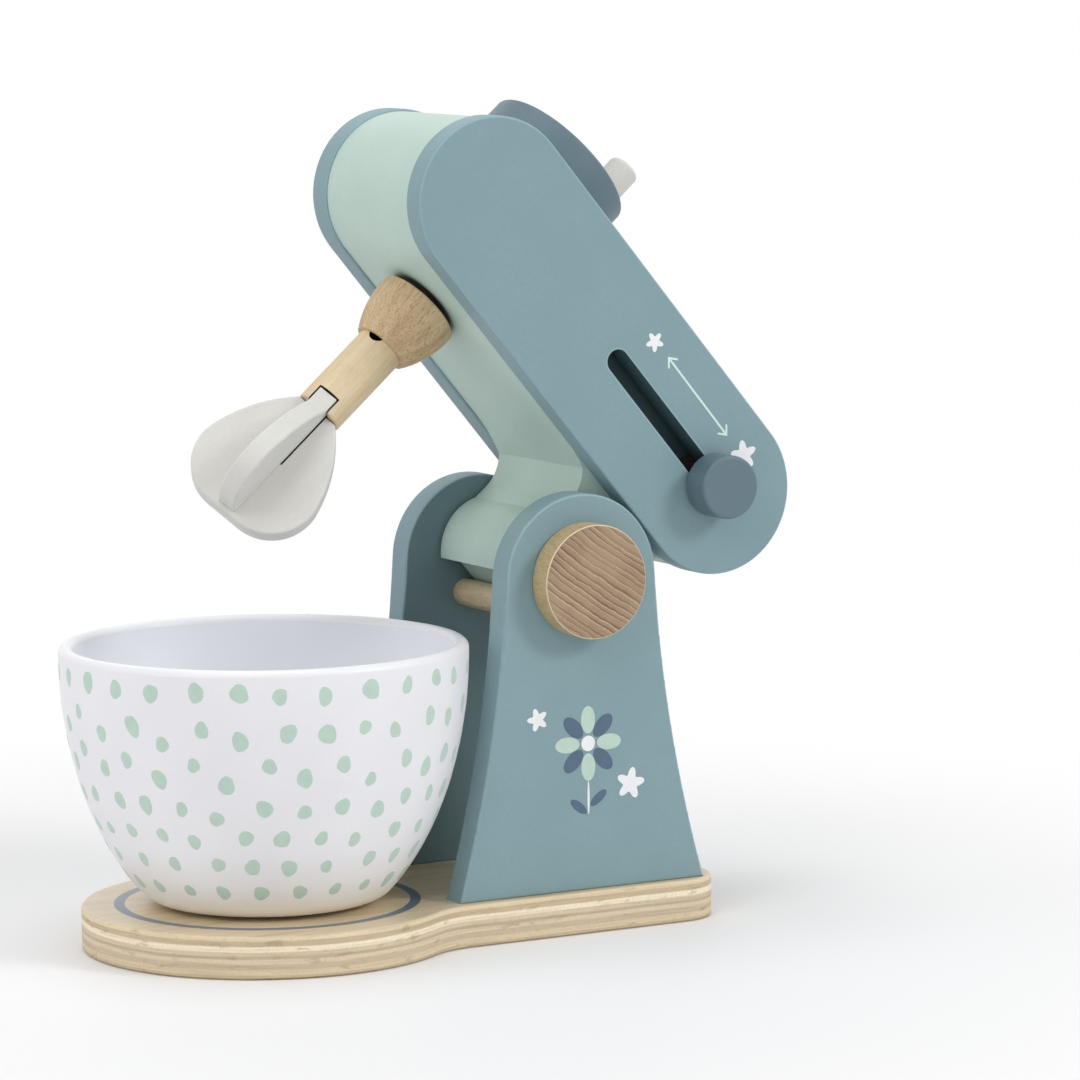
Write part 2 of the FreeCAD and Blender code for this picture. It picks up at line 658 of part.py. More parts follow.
def blade_board(reach):
    """A blade before its halving slot, in the XZ plane through the whisk's axis.

    Each side is a long shoulder arc that runs into the round corner of the foot.
    """
    face_y = -BLADE_THICKNESS / 2
    end = WHISK_SHAFT_END_Z
    tang_top = end + TANG_HEIGHT
    foot_z = end - reach
    outline = []
    for side in (-1, 1):
        tang_corner = Vector(DRIVE_X + side * tang_half_width(), face_y, tang_top)
        shoulder = Vector(tang_corner.x, face_y, end)
        corner_x = side * (BLADE_HALF_WIDTH - BLADE_CORNER_RADIUS)
        corner = Vector(DRIVE_X + corner_x, face_y, foot_z + BLADE_CORNER_RADIUS)
        between = BLADE_SHOULDER_RADIUS - BLADE_CORNER_RADIUS
        # The arc's centre lies on the far side of the axis, so it is found mirrored in x.
        to_shoulder = Vector(-side * shoulder.x, face_y, end)
        to_corner = Vector(-side * corner.x, face_y, corner.z)
        found = meeting_point(to_corner, between, to_shoulder, BLADE_SHOULDER_RADIUS)
        centre = Vector(-side * found.x, face_y, found.z)
        outward = corner.sub(centre).normalize()
        widest = corner.add(outward.multiply(BLADE_CORNER_RADIUS))
        foot = Vector(corner.x, face_y, foot_z)
        outline.append(line(tang_corner, shoulder))
        outline.append(arc(centre, shoulder, widest))
        outline.append(arc(corner, widest, foot))
    left_x = DRIVE_X - tang_half_width()
    right_x = DRIVE_X + tang_half_width()
    foot_half = BLADE_HALF_WIDTH - BLADE_CORNER_RADIUS
    outline.append(line(Vector(left_x, face_y, tang_top), Vector(right_x, face_y, tang_top)))
    outline.append(line(
        Vector(DRIVE_X - foot_half, face_y, foot_z),
        Vector(DRIVE_X + foot_half, face_y, foot_z),
    ))
    board = extruded(Part.__sortEdges__(outline), Vector(0, BLADE_THICKNESS, 0))
    rim = []
    for face in (face_y, -face_y):
        for edge in edges_in_plane(board, "Y", face):
            if edge.BoundBox.ZMax < end + TOLERANCE:
                rim.append(edge)
    return board.makeFillet(BLADE_EDGE_ROUND, rim)


def halving_slot(low_z, high_z, gap):
    width = BLADE_THICKNESS + 2 * gap
    corner = Vector(DRIVE_X - width / 2, -BLADE_THICKNESS, low_z)
    return Part.makeBox(width, 2 * BLADE_THICKNESS, high_z - low_z, corner)


def whisk_blades():
    """Two crossed boards: one carries the tang and a slot that opens down.

    The other ends below the shaft, with a slot that opens up.
    """
    top = WHISK_SHAFT_END_Z + TANG_HEIGHT
    foot = WHISK_SHAFT_END_Z - BLADE_REACH
    middle = foot + HALVING_RISE
    slot_down = halving_slot(foot, middle + TIGHT_HALVING_GAP, TIGHT_HALVING_GAP)
    slot_up = halving_slot(middle - TIGHT_HALVING_GAP, top, LOOSE_HALVING_GAP)
    tang_room = Part.makeBox(
        2 * WHISK_SHAFT_RADIUS,
        BLADE_THICKNESS,
        TANG_HEIGHT + SHAFT_END_GAP,
        Vector(DRIVE_X - WHISK_SHAFT_RADIUS, -BLADE_THICKNESS / 2, WHISK_SHAFT_END_Z - SHAFT_END_GAP),
    )
    tanged = blade_board(TANGED_BLADE_REACH).cut(slot_down)
    plain = blade_board(BLADE_REACH).cut(slot_up.fuse(tang_room))
    blade_a = turned_to(tanged, BLADE_ANGLE)
    blade_b = turned_to(plain, BLADE_ANGLE + 90)
    return blade_a, blade_b


# ---------------------------------------------------------------- bowl

def bowl_side(belly_x, reach, floor_z, floor_radius, rim_z):
    """A quarter-ellipse from the floor's edge up to the rim, with its centre at rim height.

    The ellipse's lower half-axis is found so that it passes through the floor's edge.
    """
    level = (floor_radius - belly_x) / reach
    drop = (rim_z - floor_z) / math.sqrt(1 - level ** 2)
    centre = Vector(belly_x, 0, rim_z)
    lowest = Vector(belly_x, 0, rim_z - drop)
    rim = Vector(belly_x + reach, 0, rim_z)
    ellipse = Part.Ellipse(lowest, rim, centre)
    start = Vector(floor_radius, 0, floor_z)
    return Part.ArcOfEllipse(ellipse, ellipse.parameter(start), ellipse.parameter(rim)).toShape()


def ring_edges(shape, radius, z):
    """The round edges of that radius at that height."""
    return [edge for edge in edges_in_plane(shape, "Z", z) if abs(edge.Curve.Radius - radius) < TOLERANCE]


def bowl():
    """One turned profile: low foot ring, underside, side, round lip, inner side and floor."""
    lip_radius = BOWL_WALL / 2
    lip_z = BASE_THICKNESS + BOWL_HEIGHT - lip_radius
    belly_x = BOWL_RIM_RADIUS - BOWL_BELLY_REACH
    foot_z = BASE_THICKNESS
    underside_z = foot_z + BOWL_FOOT_HEIGHT
    floor_z = foot_z + BOWL_FLOOR
    floor_radius = BOWL_HEEL_RADIUS - BOWL_WALL / 2
    outer_rim = Vector(BOWL_RIM_RADIUS, 0, lip_z)
    inner_rim = Vector(BOWL_RIM_RADIUS - BOWL_WALL, 0, lip_z)
    lip_centre = Vector(BOWL_RIM_RADIUS - lip_radius, 0, lip_z)
    lip_top = lip_centre.add(Vector(0, 0, lip_radius))
    underside = [
        Vector(0, 0, floor_z),
        Vector(0, 0, underside_z),
        Vector(BOWL_FOOT_BORE_RADIUS, 0, underside_z),
        Vector(BOWL_FOOT_BORE_RADIUS, 0, foot_z),
        Vector(BOWL_FOOT_RADIUS, 0, foot_z),
        Vector(BOWL_FOOT_RADIUS, 0, underside_z),
        Vector(BOWL_HEEL_RADIUS, 0, underside_z),
    ]
    profile = [
        bowl_side(belly_x, BOWL_BELLY_REACH, underside_z, BOWL_HEEL_RADIUS, lip_z),
        arc(lip_centre, outer_rim, lip_top),
        arc(lip_centre, lip_top, inner_rim),
        bowl_side(belly_x, BOWL_BELLY_REACH - BOWL_WALL, floor_z, floor_radius, lip_z),
        line(Vector(floor_radius, 0, floor_z), underside[0]),
    ]
    for index, point in enumerate(underside[1:]):
        profile.append(line(underside[index], point))
    solid = turned(Part.__sortEdges__(profile), BASE_PLATE_X, 0)
    solid = solid.makeFillet(BOWL_HEEL_ROUND, ring_edges(solid, BOWL_HEEL_RADIUS, underside_z))
    return solid.makeFillet(BOWL_FLOOR_ROUND, ring_edges(solid, floor_radius, floor_z))


# ---------------------------------------------------------------- the pieces

def pieces():
    """Every piece by its node name, in the open rest pose."""
    far_cap = pivot_cap()
    blade_a, blade_b = whisk_blades()
    standing = {
        "base_board": base_board(),
        "near_pillar": pillar(-1),
        "far_pillar": pillar(1),
        "pillar_screws": pillar_screws(),
        "stop_dowel": stop_dowel(),
        "bowl": bowl(),
    }
    tilting = {
        "pivot_axle": pivot_axle(),
        "near_pivot_cap": mirrored(far_cap),
        "far_pivot_cap": far_cap,
        "head_core": head_core(),
        "near_side_panel": near_side_panel(),
        "far_side_panel": side_panel(1),
        "panel_dowels": Part.makeCompound(locating_dowels()),
        "slider_knob": slider_knob(),
        "slider_stem": slider_stem(),
        "slider_retainer": slider_retainer(),
        "crank_disc": leaning(crank_disc()),
        "crank_peg": leaning(crank_peg()),
        "drive_shaft": leaning(drive_shaft()),
        "whisk_socket": leaning(whisk_socket()),
        "whisk_shaft": leaning(whisk_shaft()),
        "whisk_blade_a": leaning(blade_a),
        "whisk_blade_b": leaning(blade_b),
    }
    for name, shape in tilting.items():
        standing[name] = opened(shape)
    return standing


def main():
    os.makedirs("parts", exist_ok=True)
    for name, shape in pieces().items():
        shape.exportStep("parts/" + name + ".step")


main()
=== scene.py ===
import json
import math
import random

import bpy
from mathutils import Matrix, Vector
from mathutils.bvhtree import BVHTree

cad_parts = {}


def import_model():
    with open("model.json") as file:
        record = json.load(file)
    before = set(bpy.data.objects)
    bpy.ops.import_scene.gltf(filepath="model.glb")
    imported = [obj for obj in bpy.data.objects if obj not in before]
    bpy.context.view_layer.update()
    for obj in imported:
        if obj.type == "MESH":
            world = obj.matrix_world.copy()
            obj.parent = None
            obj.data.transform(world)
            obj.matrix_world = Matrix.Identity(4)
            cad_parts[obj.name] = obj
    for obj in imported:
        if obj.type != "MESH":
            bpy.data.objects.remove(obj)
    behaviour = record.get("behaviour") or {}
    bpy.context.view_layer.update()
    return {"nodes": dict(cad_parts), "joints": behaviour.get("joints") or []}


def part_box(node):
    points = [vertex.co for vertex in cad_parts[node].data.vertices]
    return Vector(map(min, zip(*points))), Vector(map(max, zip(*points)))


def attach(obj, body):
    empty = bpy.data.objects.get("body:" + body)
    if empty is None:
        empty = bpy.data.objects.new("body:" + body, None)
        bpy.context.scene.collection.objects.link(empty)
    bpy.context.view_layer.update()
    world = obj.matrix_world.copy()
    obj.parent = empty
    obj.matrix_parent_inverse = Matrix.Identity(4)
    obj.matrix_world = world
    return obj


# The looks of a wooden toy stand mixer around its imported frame: painted boards, turned
# beech and maple, a plywood base and a spotted bowl, with the prints as thin paint films.

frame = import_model()

MM = 0.001

# ---------------------------------------------------------------- places, from the frame


def joint(name):
    """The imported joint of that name."""
    return next(j for j in frame["joints"] if j["name"] == name)


def middle(node):
    """The centre of a node's box."""
    low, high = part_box(node)
    return (low + high) / 2


TILT_PIVOT = Vector(joint("head_tilt")["pos_m"])
HEAD_ANGLE = math.radians(joint("head_tilt")["range_deg"][1])

# The head's own axes: "along" from front to rear and "up" square to its top, both in the
# plane of its panels. Their origin is the tilt pivot.
HEAD_AXES = Matrix.Translation(TILT_PIVOT) @ Matrix.Rotation(HEAD_ANGLE, 4, "Y")


def head_place(point):
    """A point's place in millimetres along, across and up in the head's own axes."""
    return HEAD_AXES.inverted() @ point / MM


BASE_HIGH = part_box("base_board")[1]
BOWL_LOW, BOWL_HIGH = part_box("bowl")
BOWL_CENTRE = (BOWL_LOW + BOWL_HIGH) / 2
BOWL_RIM_RADIUS = (BOWL_HIGH.x - BOWL_LOW.x) / 2
PANEL_FACE_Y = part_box("near_side_panel")[0].y
PILLAR_FACE_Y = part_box("near_pillar")[0].y

SLIDER_PLACE = head_place(middle("slider_knob"))
SLIDER_TRAVEL = joint("slider_slide")["range_m"][1] / MM

DRIVE_PIVOT = Vector(joint("crank_spin")["pos_m"])
DRIVE_AXIS = Vector(joint("crank_spin")["axis"]).normalized()
DRIVE_ANGLE = math.atan2(DRIVE_AXIS.x, DRIVE_AXIS.z)


def drive_foot(node):
    """How far the node reaches along the drive's axis, in millimetres from its pivot."""
    corners = frame["nodes"][node].data.vertices
    return min(DRIVE_AXIS.dot(corner.co - DRIVE_PIVOT) for corner in corners) / MM


# ---------------------------------------------------------------- colours


def srgb(red, green, blue):
    """A linear RGBA colour from its 0 to 255 values."""
    linear = []
    for value in (red, green, blue):
        share = value / 255
        linear.append(share / 12.92 if share <= 0.04045 else ((share + 0.055) / 1.055) ** 2.4)
    return (*linear, 1.0)


def shade(colour, factor):
    """The colour made darker or lighter."""
    return (*(min(1.0, c * factor) for c in colour[:3]), 1.0)


SLATE = srgb(128, 156, 163)
PILLAR_SLATE = srgb(131, 159, 166)
DARK_SLATE = srgb(96, 118, 128)
MINT = srgb(184, 206, 197)
PALE_GREY = srgb(213, 212, 207)
PEG_GREY = srgb(210, 208, 204)
BOWL_WHITE = srgb(235, 235, 239)
# Painted bounce light from the base, on the bowl's lower outside.
BOWL_BOUNCE_LIGHT = srgb(253, 250, 243)
BOWL_INSIDE = srgb(240, 241, 246)
PRINT_MINT = srgb(190, 213, 200)
PRINT_ARROW = srgb(214, 236, 228)
PRINT_NAVY = srgb(84, 106, 128)
PRINT_WHITE = srgb(240, 240, 243)
RING_BLUE = srgb(72, 95, 116)
# Painted shade for the slider's slot and the pocket behind it.
SLOT_PAINTED_SHADE = srgb(76, 100, 105)
# Painted shade for the gap over the socket, the whisk's slots and the shaft's cross hole.
BORE_PAINTED_SHADE = srgb(24, 20, 17)

PLY_DARK = srgb(158, 136, 110)
PLY_PALE = srgb(236, 222, 194)
# Painted contact shadow along the feet of the bowl and of the base board.
FOOT_PAINTED_SHADE = srgb(84, 66, 50)
VENEER = srgb(217, 198, 166)
VENEER_STREAK = srgb(201, 180, 147)
BEECH_MID = srgb(162, 138, 113)
BEECH_DARK = srgb(118, 92, 70)
BEECH_LIGHT = srgb(200, 174, 145)
BEECH_SIDE = srgb(190, 170, 131)
BEECH_SIDE_DARK = srgb(168, 147, 108)
# Painted highlight on the caps' rounded edge.
BEECH_RIM_HIGHLIGHT = srgb(226, 206, 176)
BEECH_FLECK = srgb(140, 108, 74)
ZINC_DARK = srgb(178, 180, 184)
ZINC_LIGHT = srgb(205, 206, 208)

# Long-grained woods, with the share of the fleck's colour in their rays.
SOCKET_BEECH = {
    "light": srgb(212, 187, 150),
    "dark": srgb(186, 157, 119),
    "fleck": BEECH_FLECK,
    "fleck_share": 0.7,
}
MAPLE = {
    "light": srgb(225, 207, 175),
    "dark": srgb(208, 185, 147),
    "fleck": srgb(196, 166, 128),
    "fleck_share": 0.22,
}
DOWEL_BEECH = {
    "light": srgb(208, 195, 167),
    "dark": srgb(187, 167, 135),
    "fleck": BEECH_FLECK,
    "fleck_share": 0.4,
}
# Painted shade: the retainer and stem inside the slider's pocket are made dark like the slot.
SHADED_SLOT_WOOD = {
    "light": srgb(64, 58, 52),
    "dark": srgb(46, 42, 38),
    "fleck": SLOT_PAINTED_SHADE,
    "fleck_share": 0.5,
}


# ---------------------------------------------------------------- node building


class Shader:
    """One material. Each call that adds a node returns the socket that it gives."""

    def __init__(self, name, roughness, specular=0.4, coat=0.0, coat_roughness=0.25, metallic=0.0):
        self.material = bpy.data.materials.new(name)
        self.material.use_nodes = True
        self.tree = self.material.node_tree
        self.surface = self.tree.nodes["Principled BSDF"]
        self.set("Roughness", roughness)
        self.set("Specular IOR Level", specular)
        self.set("Coat Weight", coat)
        self.set("Coat Roughness", coat_roughness)
        self.set("Metallic", metallic)
        self.coordinates = self.add("TexCoord", {}, "Object")
        self.place = self.add("Mapping", {"Vector": self.coordinates, "Scale": (1 / MM,) * 3})

    def set(self, name, value):
        self.feed(self.surface.inputs[name], value)

    def feed(self, socket, value):
        if isinstance(value, bpy.types.NodeSocket):
            self.tree.links.new(value, socket)
        else:
            socket.default_value = value

    def add(self, kind, inputs, output=0, **settings):
        node = self.tree.nodes.new("ShaderNode" + kind)
        for name, value in settings.items():
            setattr(node, name, value)
        for key, value in inputs.items():
            self.feed(node.inputs[key], value)
        return node.outputs[output]

    def vector(self, operation, a, b):
        return self.add("VectorMath", {0: a, 1: b}, operation=operation)

    def number(self, operation, a, b=0.0):
        return self.add("Math", {0: a, 1: b}, operation=operation)

    def times(self, a, b):
        return self.number("MULTIPLY", a, b)

    def parts(self, vector):
        node = self.tree.nodes.new("ShaderNodeSeparateXYZ")
        self.feed(node.inputs[0], vector)
        return node.outputs[0], node.outputs[1], node.outputs[2]

    def join(self, x, y, z):
        return self.add("CombineXYZ", {0: x, 1: y, 2: z})

    def length(self, x, y):
        """The length of the vector with those two parts."""
        return self.add("VectorMath", {0: self.join(x, y, 0)}, "Value", operation="LENGTH")

    def turned(self, angle, origin):
        """Millimetres from origin, turned about Y so that a line leaning by angle is upright."""
        moved = self.vector("SUBTRACT", self.place, tuple(x / MM for x in origin))
        return self.add("Mapping", {"Vector": moved, "Rotation": (0, -angle, 0)})

    def stretched(self, vector, *factors):
        return self.vector("MULTIPLY", vector, factors)

    def normal(self):
        """The three parts of the surface's normal, in the object's own axes."""
        return self.parts(self.add("TexCoord", {}, "Normal"))

    def noise(self, vector, size, detail=2.0, roughness=0.5):
        """Noise from 0 to 1 whose features are about that many millimetres across."""
        inputs = {"Vector": vector, "Scale": 1 / size, "Detail": detail, "Roughness": roughness}
        return self.add("TexNoise", inputs)

    def between(self, value, low, high, to_low=0.0, to_high=1.0):
        """value rescaled from low..high to to_low..to_high, with smooth ends."""
        inputs = {"Value": value, "From Min": low, "From Max": high}
        inputs.update({"To Min": to_low, "To Max": to_high})
        return self.add("MapRange", inputs, interpolation_type="SMOOTHSTEP")

    def within(self, value, low, high, soft):
        """1 where the value lies between low and high, with soft ends outside them."""
        return self.times(
            self.between(value, low - soft, low), self.between(value, high + soft, high)
        )

    def ramp(self, value, stops):
        """A colour from stops of (place, colour)."""
        node = self.tree.nodes.new("ShaderNodeValToRGB")
        self.feed(node.inputs[0], value)
        points = node.color_ramp.elements
        while len(points) < len(stops):
            points.new(1.0)
        for point, (place, colour) in zip(points, stops):
            point.position = place
            point.color = colour
        return node.outputs[0]

    def mix(self, share, a, b):
        return self.add("Mix", {0: share, 6: a, 7: b}, 2, data_type="RGBA")

    def stain(self, tone, colour, pattern, low, high, share=1.0):
        """The tone, turned to the colour by up to that share as the pattern rises to high."""
        return self.mix(self.between(pattern, low, high, 0.0, share), tone, colour)

    def bump(self, height, depth, under=None):
        """A normal for a height from 0 to 1 that stands for depth in millimetres."""
        inputs = {"Height": height, "Distance": depth * MM, "Strength": 1.0}
        if under is not None:
            inputs["Normal"] = under
        return self.add("Bump", inputs)


# ---------------------------------------------------------------- painted wood

PAINT_SPECK = 0.35  # size of the fine roller texture
PAINT_MOTTLE = 1.6  # size of the wood's grain where it shows through
PAINT_DRIFT = 18.0  # size of the slow change in the paint's colour
PAINT_FILM = 0.004  # depth of the roller texture
PAINT_GRAIN = 0.012  # depth of the wood's grain below it

BOARD_ROUGHNESS = 0.5
CORE_ROUGHNESS = 0.48
TURNING_ROUGHNESS = 0.46
FAR_PILLAR_PAINTED_SHADE = 0.7  # painted shade: its inner face is darkened by this factor
ARRIS_THIN_PAINT_AND_HIGHLIGHT = 1.25  # how much paler a board's rounded edges are: thin paint and a painted highlight
ARRIS_SHARE = 0.7  # how far the paint there goes to that paler tone


def sprayed(s, size=PAINT_SPECK):
    """The fine even texture of a paint film."""
    return s.noise(s.place, size, detail=2, roughness=0.6)


def paint(s, colour, roughness):
    """Satin paint on wood: a fine roller texture, with the wood's grain faint below it."""
    drift = s.noise(s.place, PAINT_DRIFT, detail=3)
    mottle = s.noise(s.place, PAINT_MOTTLE, detail=4, roughness=0.6)
    speck = sprayed(s)
    tone = s.stain(shade(colour, 0.97), shade(colour, 1.03), drift, 0.3, 0.7)
    tone = s.stain(tone, shade(colour, 0.95), mottle, 0.35, 0.7, share=0.5)
    tone = s.stain(tone, shade(colour, 0.91), speck, 0.3, 0.7, share=0.6)
    s.set("Roughness", s.between(speck, 0.2, 0.8, roughness - 0.05, roughness + 0.08))
    s.set("Normal", s.bump(speck, PAINT_FILM, s.bump(mottle, PAINT_GRAIN)))
    return tone


def painted(name, colour, roughness):
    s = Shader(name, roughness)
    s.set("Base Color", paint(s, colour, roughness))
    return s.material


def board_paint(s, colour):
    """The paint of a board that faces +Y and -Y, paler along the rounded edges: thin paint and a
    painted highlight.
    """
    tone = paint(s, colour, BOARD_ROUGHNESS)
    squareness = s.number("ABSOLUTE", s.normal()[1])
    arris = s.within(squareness, 0.45, 0.9, soft=0.12)
    return s.mix(s.times(arris, ARRIS_SHARE), tone, shade(colour, ARRIS_THIN_PAINT_AND_HIGHLIGHT))


def painted_board(name, colour, near_face_painted_shade=1.0):
    """A painted board. Its face towards -Y is darkened by that factor, as painted shade."""
    s = Shader(name, BOARD_ROUGHNESS)
    tone = board_paint(s, colour)
    factor = s.between(s.normal()[1], -0.7, -0.9, 1.0, near_face_painted_shade)
    s.set("Base Color", s.add("VectorMath", {0: tone, "Scale": factor}, operation="SCALE"))
    return s.material


SLOT_RADIUS = 3.4
SLOT_EDGE = 0.15  # the paler band, thin paint and a painted highlight, starts this far out from the slot's wall
SLOT_BRIM = 0.4  # and reaches this far along the slot
SLOT_SKIN = (0.02, 0.12)  # the painted shade on the wall fades out between these distances from it
POCKET_REACH = 10.0  # how far the pocket reaches from the slot's centre line
POCKET_REACH_SOFT = 0.5
POCKET_FLOOR = 5.0  # how deep the pocket is in the core's side
POCKET_FLOOR_SOFT = 0.3
CORE_SIDE_Y = -24.0


def from_slot(s, along, up):
    """How far each point is from the centre line of the slider's slot."""
    front = SLIDER_PLACE.x - SLIDER_TRAVEL
    nearest = s.number("MINIMUM", s.number("MAXIMUM", along, front), SLIDER_PLACE.x)
    beside = s.number("SUBTRACT", along, nearest)
    return s.length(beside, s.number("SUBTRACT", up, SLIDER_PLACE.z))


def slotted_board():
    """The near panel, with paler paint along its slot, partly a painted highlight, and painted
    shade on the slot's walls.
    """
    s = Shader("slotted_board", BOARD_ROUGHNESS)
    along, _, up = s.parts(s.turned(HEAD_ANGLE, TILT_PIVOT))
    distance = from_slot(s, along, up)
    brim = s.within(distance, SLOT_RADIUS + SLOT_EDGE, SLOT_RADIUS + SLOT_BRIM, soft=0.08)
    tone = s.mix(brim, board_paint(s, SLATE), shade(SLATE, ARRIS_THIN_PAINT_AND_HIGHLIGHT))
    wall, face = (SLOT_RADIUS + skin for skin in SLOT_SKIN)
    s.set("Base Color", s.stain(tone, SLOT_PAINTED_SHADE, distance, face, wall))
    return s.material


# The painted shadow on the core's underside, over the socket's top.
BORE_SHADOW_RADIUS = 9.4
BORE_SHADOW_SOFT = 2.4


def core_paint():
    """The core's mint paint, with painted shade in the slider's pocket and a painted shadow round
    the bore.
    """
    s = Shader("mint_core", CORE_ROUGHNESS)
    along, across, up = s.parts(s.turned(HEAD_ANGLE, TILT_PIVOT))
    tone = paint(s, MINT, CORE_ROUGHNESS)
    # Painted shade in the slider's pocket behind the slot.
    pocket_reach = from_slot(s, along, up)
    in_reach = s.between(pocket_reach, POCKET_REACH + POCKET_REACH_SOFT, POCKET_REACH)
    floor_y = CORE_SIDE_Y + POCKET_FLOOR
    in_depth = s.between(across, floor_y + POCKET_FLOOR_SOFT, floor_y)
    tone = s.mix(s.times(in_reach, in_depth), tone, SLOT_PAINTED_SHADE)

    # Painted shadow round the bore, on the underside above the socket.
    beside, past, above = s.parts(s.turned(DRIVE_ANGLE, DRIVE_PIVOT))
    radius = s.length(beside, past)
    patch = s.between(radius, BORE_SHADOW_RADIUS + BORE_SHADOW_SOFT, BORE_SHADOW_RADIUS)
    underneath = s.between(above, 0, -1)
    s.set("Base Color", s.mix(s.times(patch, underneath), tone, BORE_PAINTED_SHADE))
    return s.material


SLOT_WALL_RADIUS = 4.1  # the blades' slots lie within this distance of the whisk's axis
SLOT_WALL_SOFT = 0.05
BLADE_TIP = 1.5  # height of the tips, which stay pale
BLADE_TIP_SOFT = 0.5
BLADE_FILM = 0.006
BLADE_GRAIN = 0.02


def blade_paint(name, colour, foot=None):
    """Thin pale paint on fine grain. Above the foot, the walls of the blade's slot get painted
    shade.
    """
    s = Shader(name, roughness=0.55)
    vector = s.turned(DRIVE_ANGLE, TILT_PIVOT)
    grain = s.noise(s.stretched(vector, 1.0, 1.0, 0.3), 0.5, detail=4, roughness=0.65)
    figure = s.noise(s.stretched(vector, 1.0, 1.0, 0.2), 3.5, detail=3)
    speck = sprayed(s)
    tone = s.stain(colour, shade(colour, 0.965), figure, 0.35, 0.7)
    tone = s.stain(tone, shade(colour, 0.9), grain, 0.42, 0.7, share=0.45)
    tone = s.stain(tone, shade(colour, 1.06), speck, 0.4, 0.75, share=0.35)
    if foot is not None:
        # Painted shade on the walls of the blade's slot.
        beside, past, above = s.parts(s.turned(DRIVE_ANGLE, DRIVE_PIVOT))
        radius = s.length(beside, past)
        walls = s.between(radius, SLOT_WALL_RADIUS, SLOT_WALL_RADIUS - SLOT_WALL_SOFT)
        tip = foot + BLADE_TIP
        above_tip = s.between(above, tip, tip + BLADE_TIP_SOFT)
        tone = s.mix(s.times(walls, above_tip), tone, BORE_PAINTED_SHADE)
    s.set("Base Color", tone)
    s.set("Roughness", s.between(grain, 0.2, 0.8, 0.5, 0.65))
    s.set("Normal", s.bump(speck, BLADE_FILM, s.bump(grain, BLADE_GRAIN)))
    return s.material


LACQUER_SPECK = 0.45
LACQUER_FILM = 0.006
BOUNCE_LIGHT_TOP = 17.0  # below this height the lacquer is warmed by painted light bounced from the base
FOOT_SHADOW_LINE = 0.45  # the painted contact shadow along the foot
FOOT_SHADOW_SOFT = 0.1
LINING_DEPTHS = (1.2, 2.6)  # the cooler coat sets in between these depths below the rim
FLOOR_HEIGHTS = (3.0, 4.0)  # a face that looks up is the bowl's floor from these heights up


def bowl_paint():
    """White lacquer outside and on the rim, with painted bounce light low down and a painted
    contact shadow at the foot, and a cooler and glossier coat inside.
    """
    s = Shader("bowl_lacquer", roughness=0.38, specular=0.45, coat=0.15)
    x, y, z = s.parts(s.place)
    height = s.number("SUBTRACT", z, BOWL_LOW.z / MM)
    centre = (BOWL_CENTRE.x / MM, BOWL_CENTRE.y / MM, 0)
    across = s.vector("SUBTRACT", s.join(x, y, 0), centre)
    radius = s.add("VectorMath", {0: across}, "Value", operation="LENGTH")
    nx, ny, nz = s.normal()
    level_normal = s.join(nx, ny, 0)
    outward = s.add("VectorMath", {0: level_normal, 1: across}, "Value", operation="DOT_PRODUCT")
    facing_out = s.number("DIVIDE", outward, s.number("ADD", radius, 0.01))
    inner_wall = s.between(facing_out, 0.25, -0.25)
    inner_floor = s.times(s.between(nz, 0.8, 0.9), s.between(height, *FLOOR_HEIGHTS))
    below_rim = s.between(s.number("SUBTRACT", BOWL_HIGH.z / MM, z), *LINING_DEPTHS)
    inner = s.times(s.number("MAXIMUM", inner_wall, inner_floor), below_rim)

    drift = s.noise(s.place, 22, detail=2)
    speck = sprayed(s, LACQUER_SPECK)
    outer = s.stain(BOWL_WHITE, shade(BOWL_WHITE, 0.975), drift, 0.35, 0.7)
    outer = s.stain(outer, shade(BOWL_WHITE, 0.95), speck, 0.4, 0.75, share=0.6)
    outer = s.stain(outer, BOWL_BOUNCE_LIGHT, height, BOUNCE_LIGHT_TOP, 0)
    outer = s.stain(outer, FOOT_PAINTED_SHADE, height, FOOT_SHADOW_LINE + FOOT_SHADOW_SOFT, FOOT_SHADOW_LINE)
    lining = s.stain(BOWL_INSIDE, shade(BOWL_INSIDE, 0.98), drift, 0.35, 0.7)
    s.set("Base Color", s.mix(inner, outer, lining))
    s.set("Roughness", s.between(inner, 0, 1, 0.42, 0.3))
    s.set("Normal", s.bump(speck, LACQUER_FILM))
    return s.material


# ---------------------------------------------------------------- bare wood and metal

# The plies of the base board from its top face down: where each begins, and its colour.
PLIES = (
    # The first, thin band is a painted highlight along the top arris.
    {"depth": 0.0, "colour": srgb(228, 210, 174)},
    {"depth": 0.55, "colour": srgb(202, 182, 151)},
    {"depth": 2.1, "colour": srgb(248, 234, 205)},
    {"depth": 3.6, "colour": srgb(217, 200, 173)},
    {"depth": 4.8, "colour": srgb(196, 176, 148)},
    {"depth": 5.6, "colour": srgb(222, 205, 177)},
    {"depth": 6.9, "colour": srgb(204, 186, 157)},
    {"depth": 8.5, "colour": srgb(220, 202, 170)},
    {"depth": 10.0, "colour": srgb(203, 184, 151)},
    {"depth": 10.9, "colour": srgb(222, 203, 171)},
)
PLY_BLUR = 0.12
PLY_DROP = 0.5  # each ply's line lies this much lower than its depth says
PLY_WANDER = 0.5  # and wanders down by up to this much more
VENEER_SHEEN = 0.75
RING_INNER_RADIUS = 39.7
RING_OUTER_RADIUS = 42.7
RING_SOFT = 0.25
RING_WOBBLE = 0.25  # how unevenly its edges were painted
RING_COVER = 0.95  # how much of the veneer its ink hides


def ply_stops(height):
    """The ramp's stops for the plies, each joined to the next over a short blur."""
    stops = [(0.0, PLIES[0]["colour"])]
    for above, ply in zip(PLIES, PLIES[1:]):
        stops.append(((ply["depth"] - PLY_BLUR) / height, above["colour"]))
        stops.append(((ply["depth"] + PLY_BLUR) / height, ply["colour"]))
    return stops


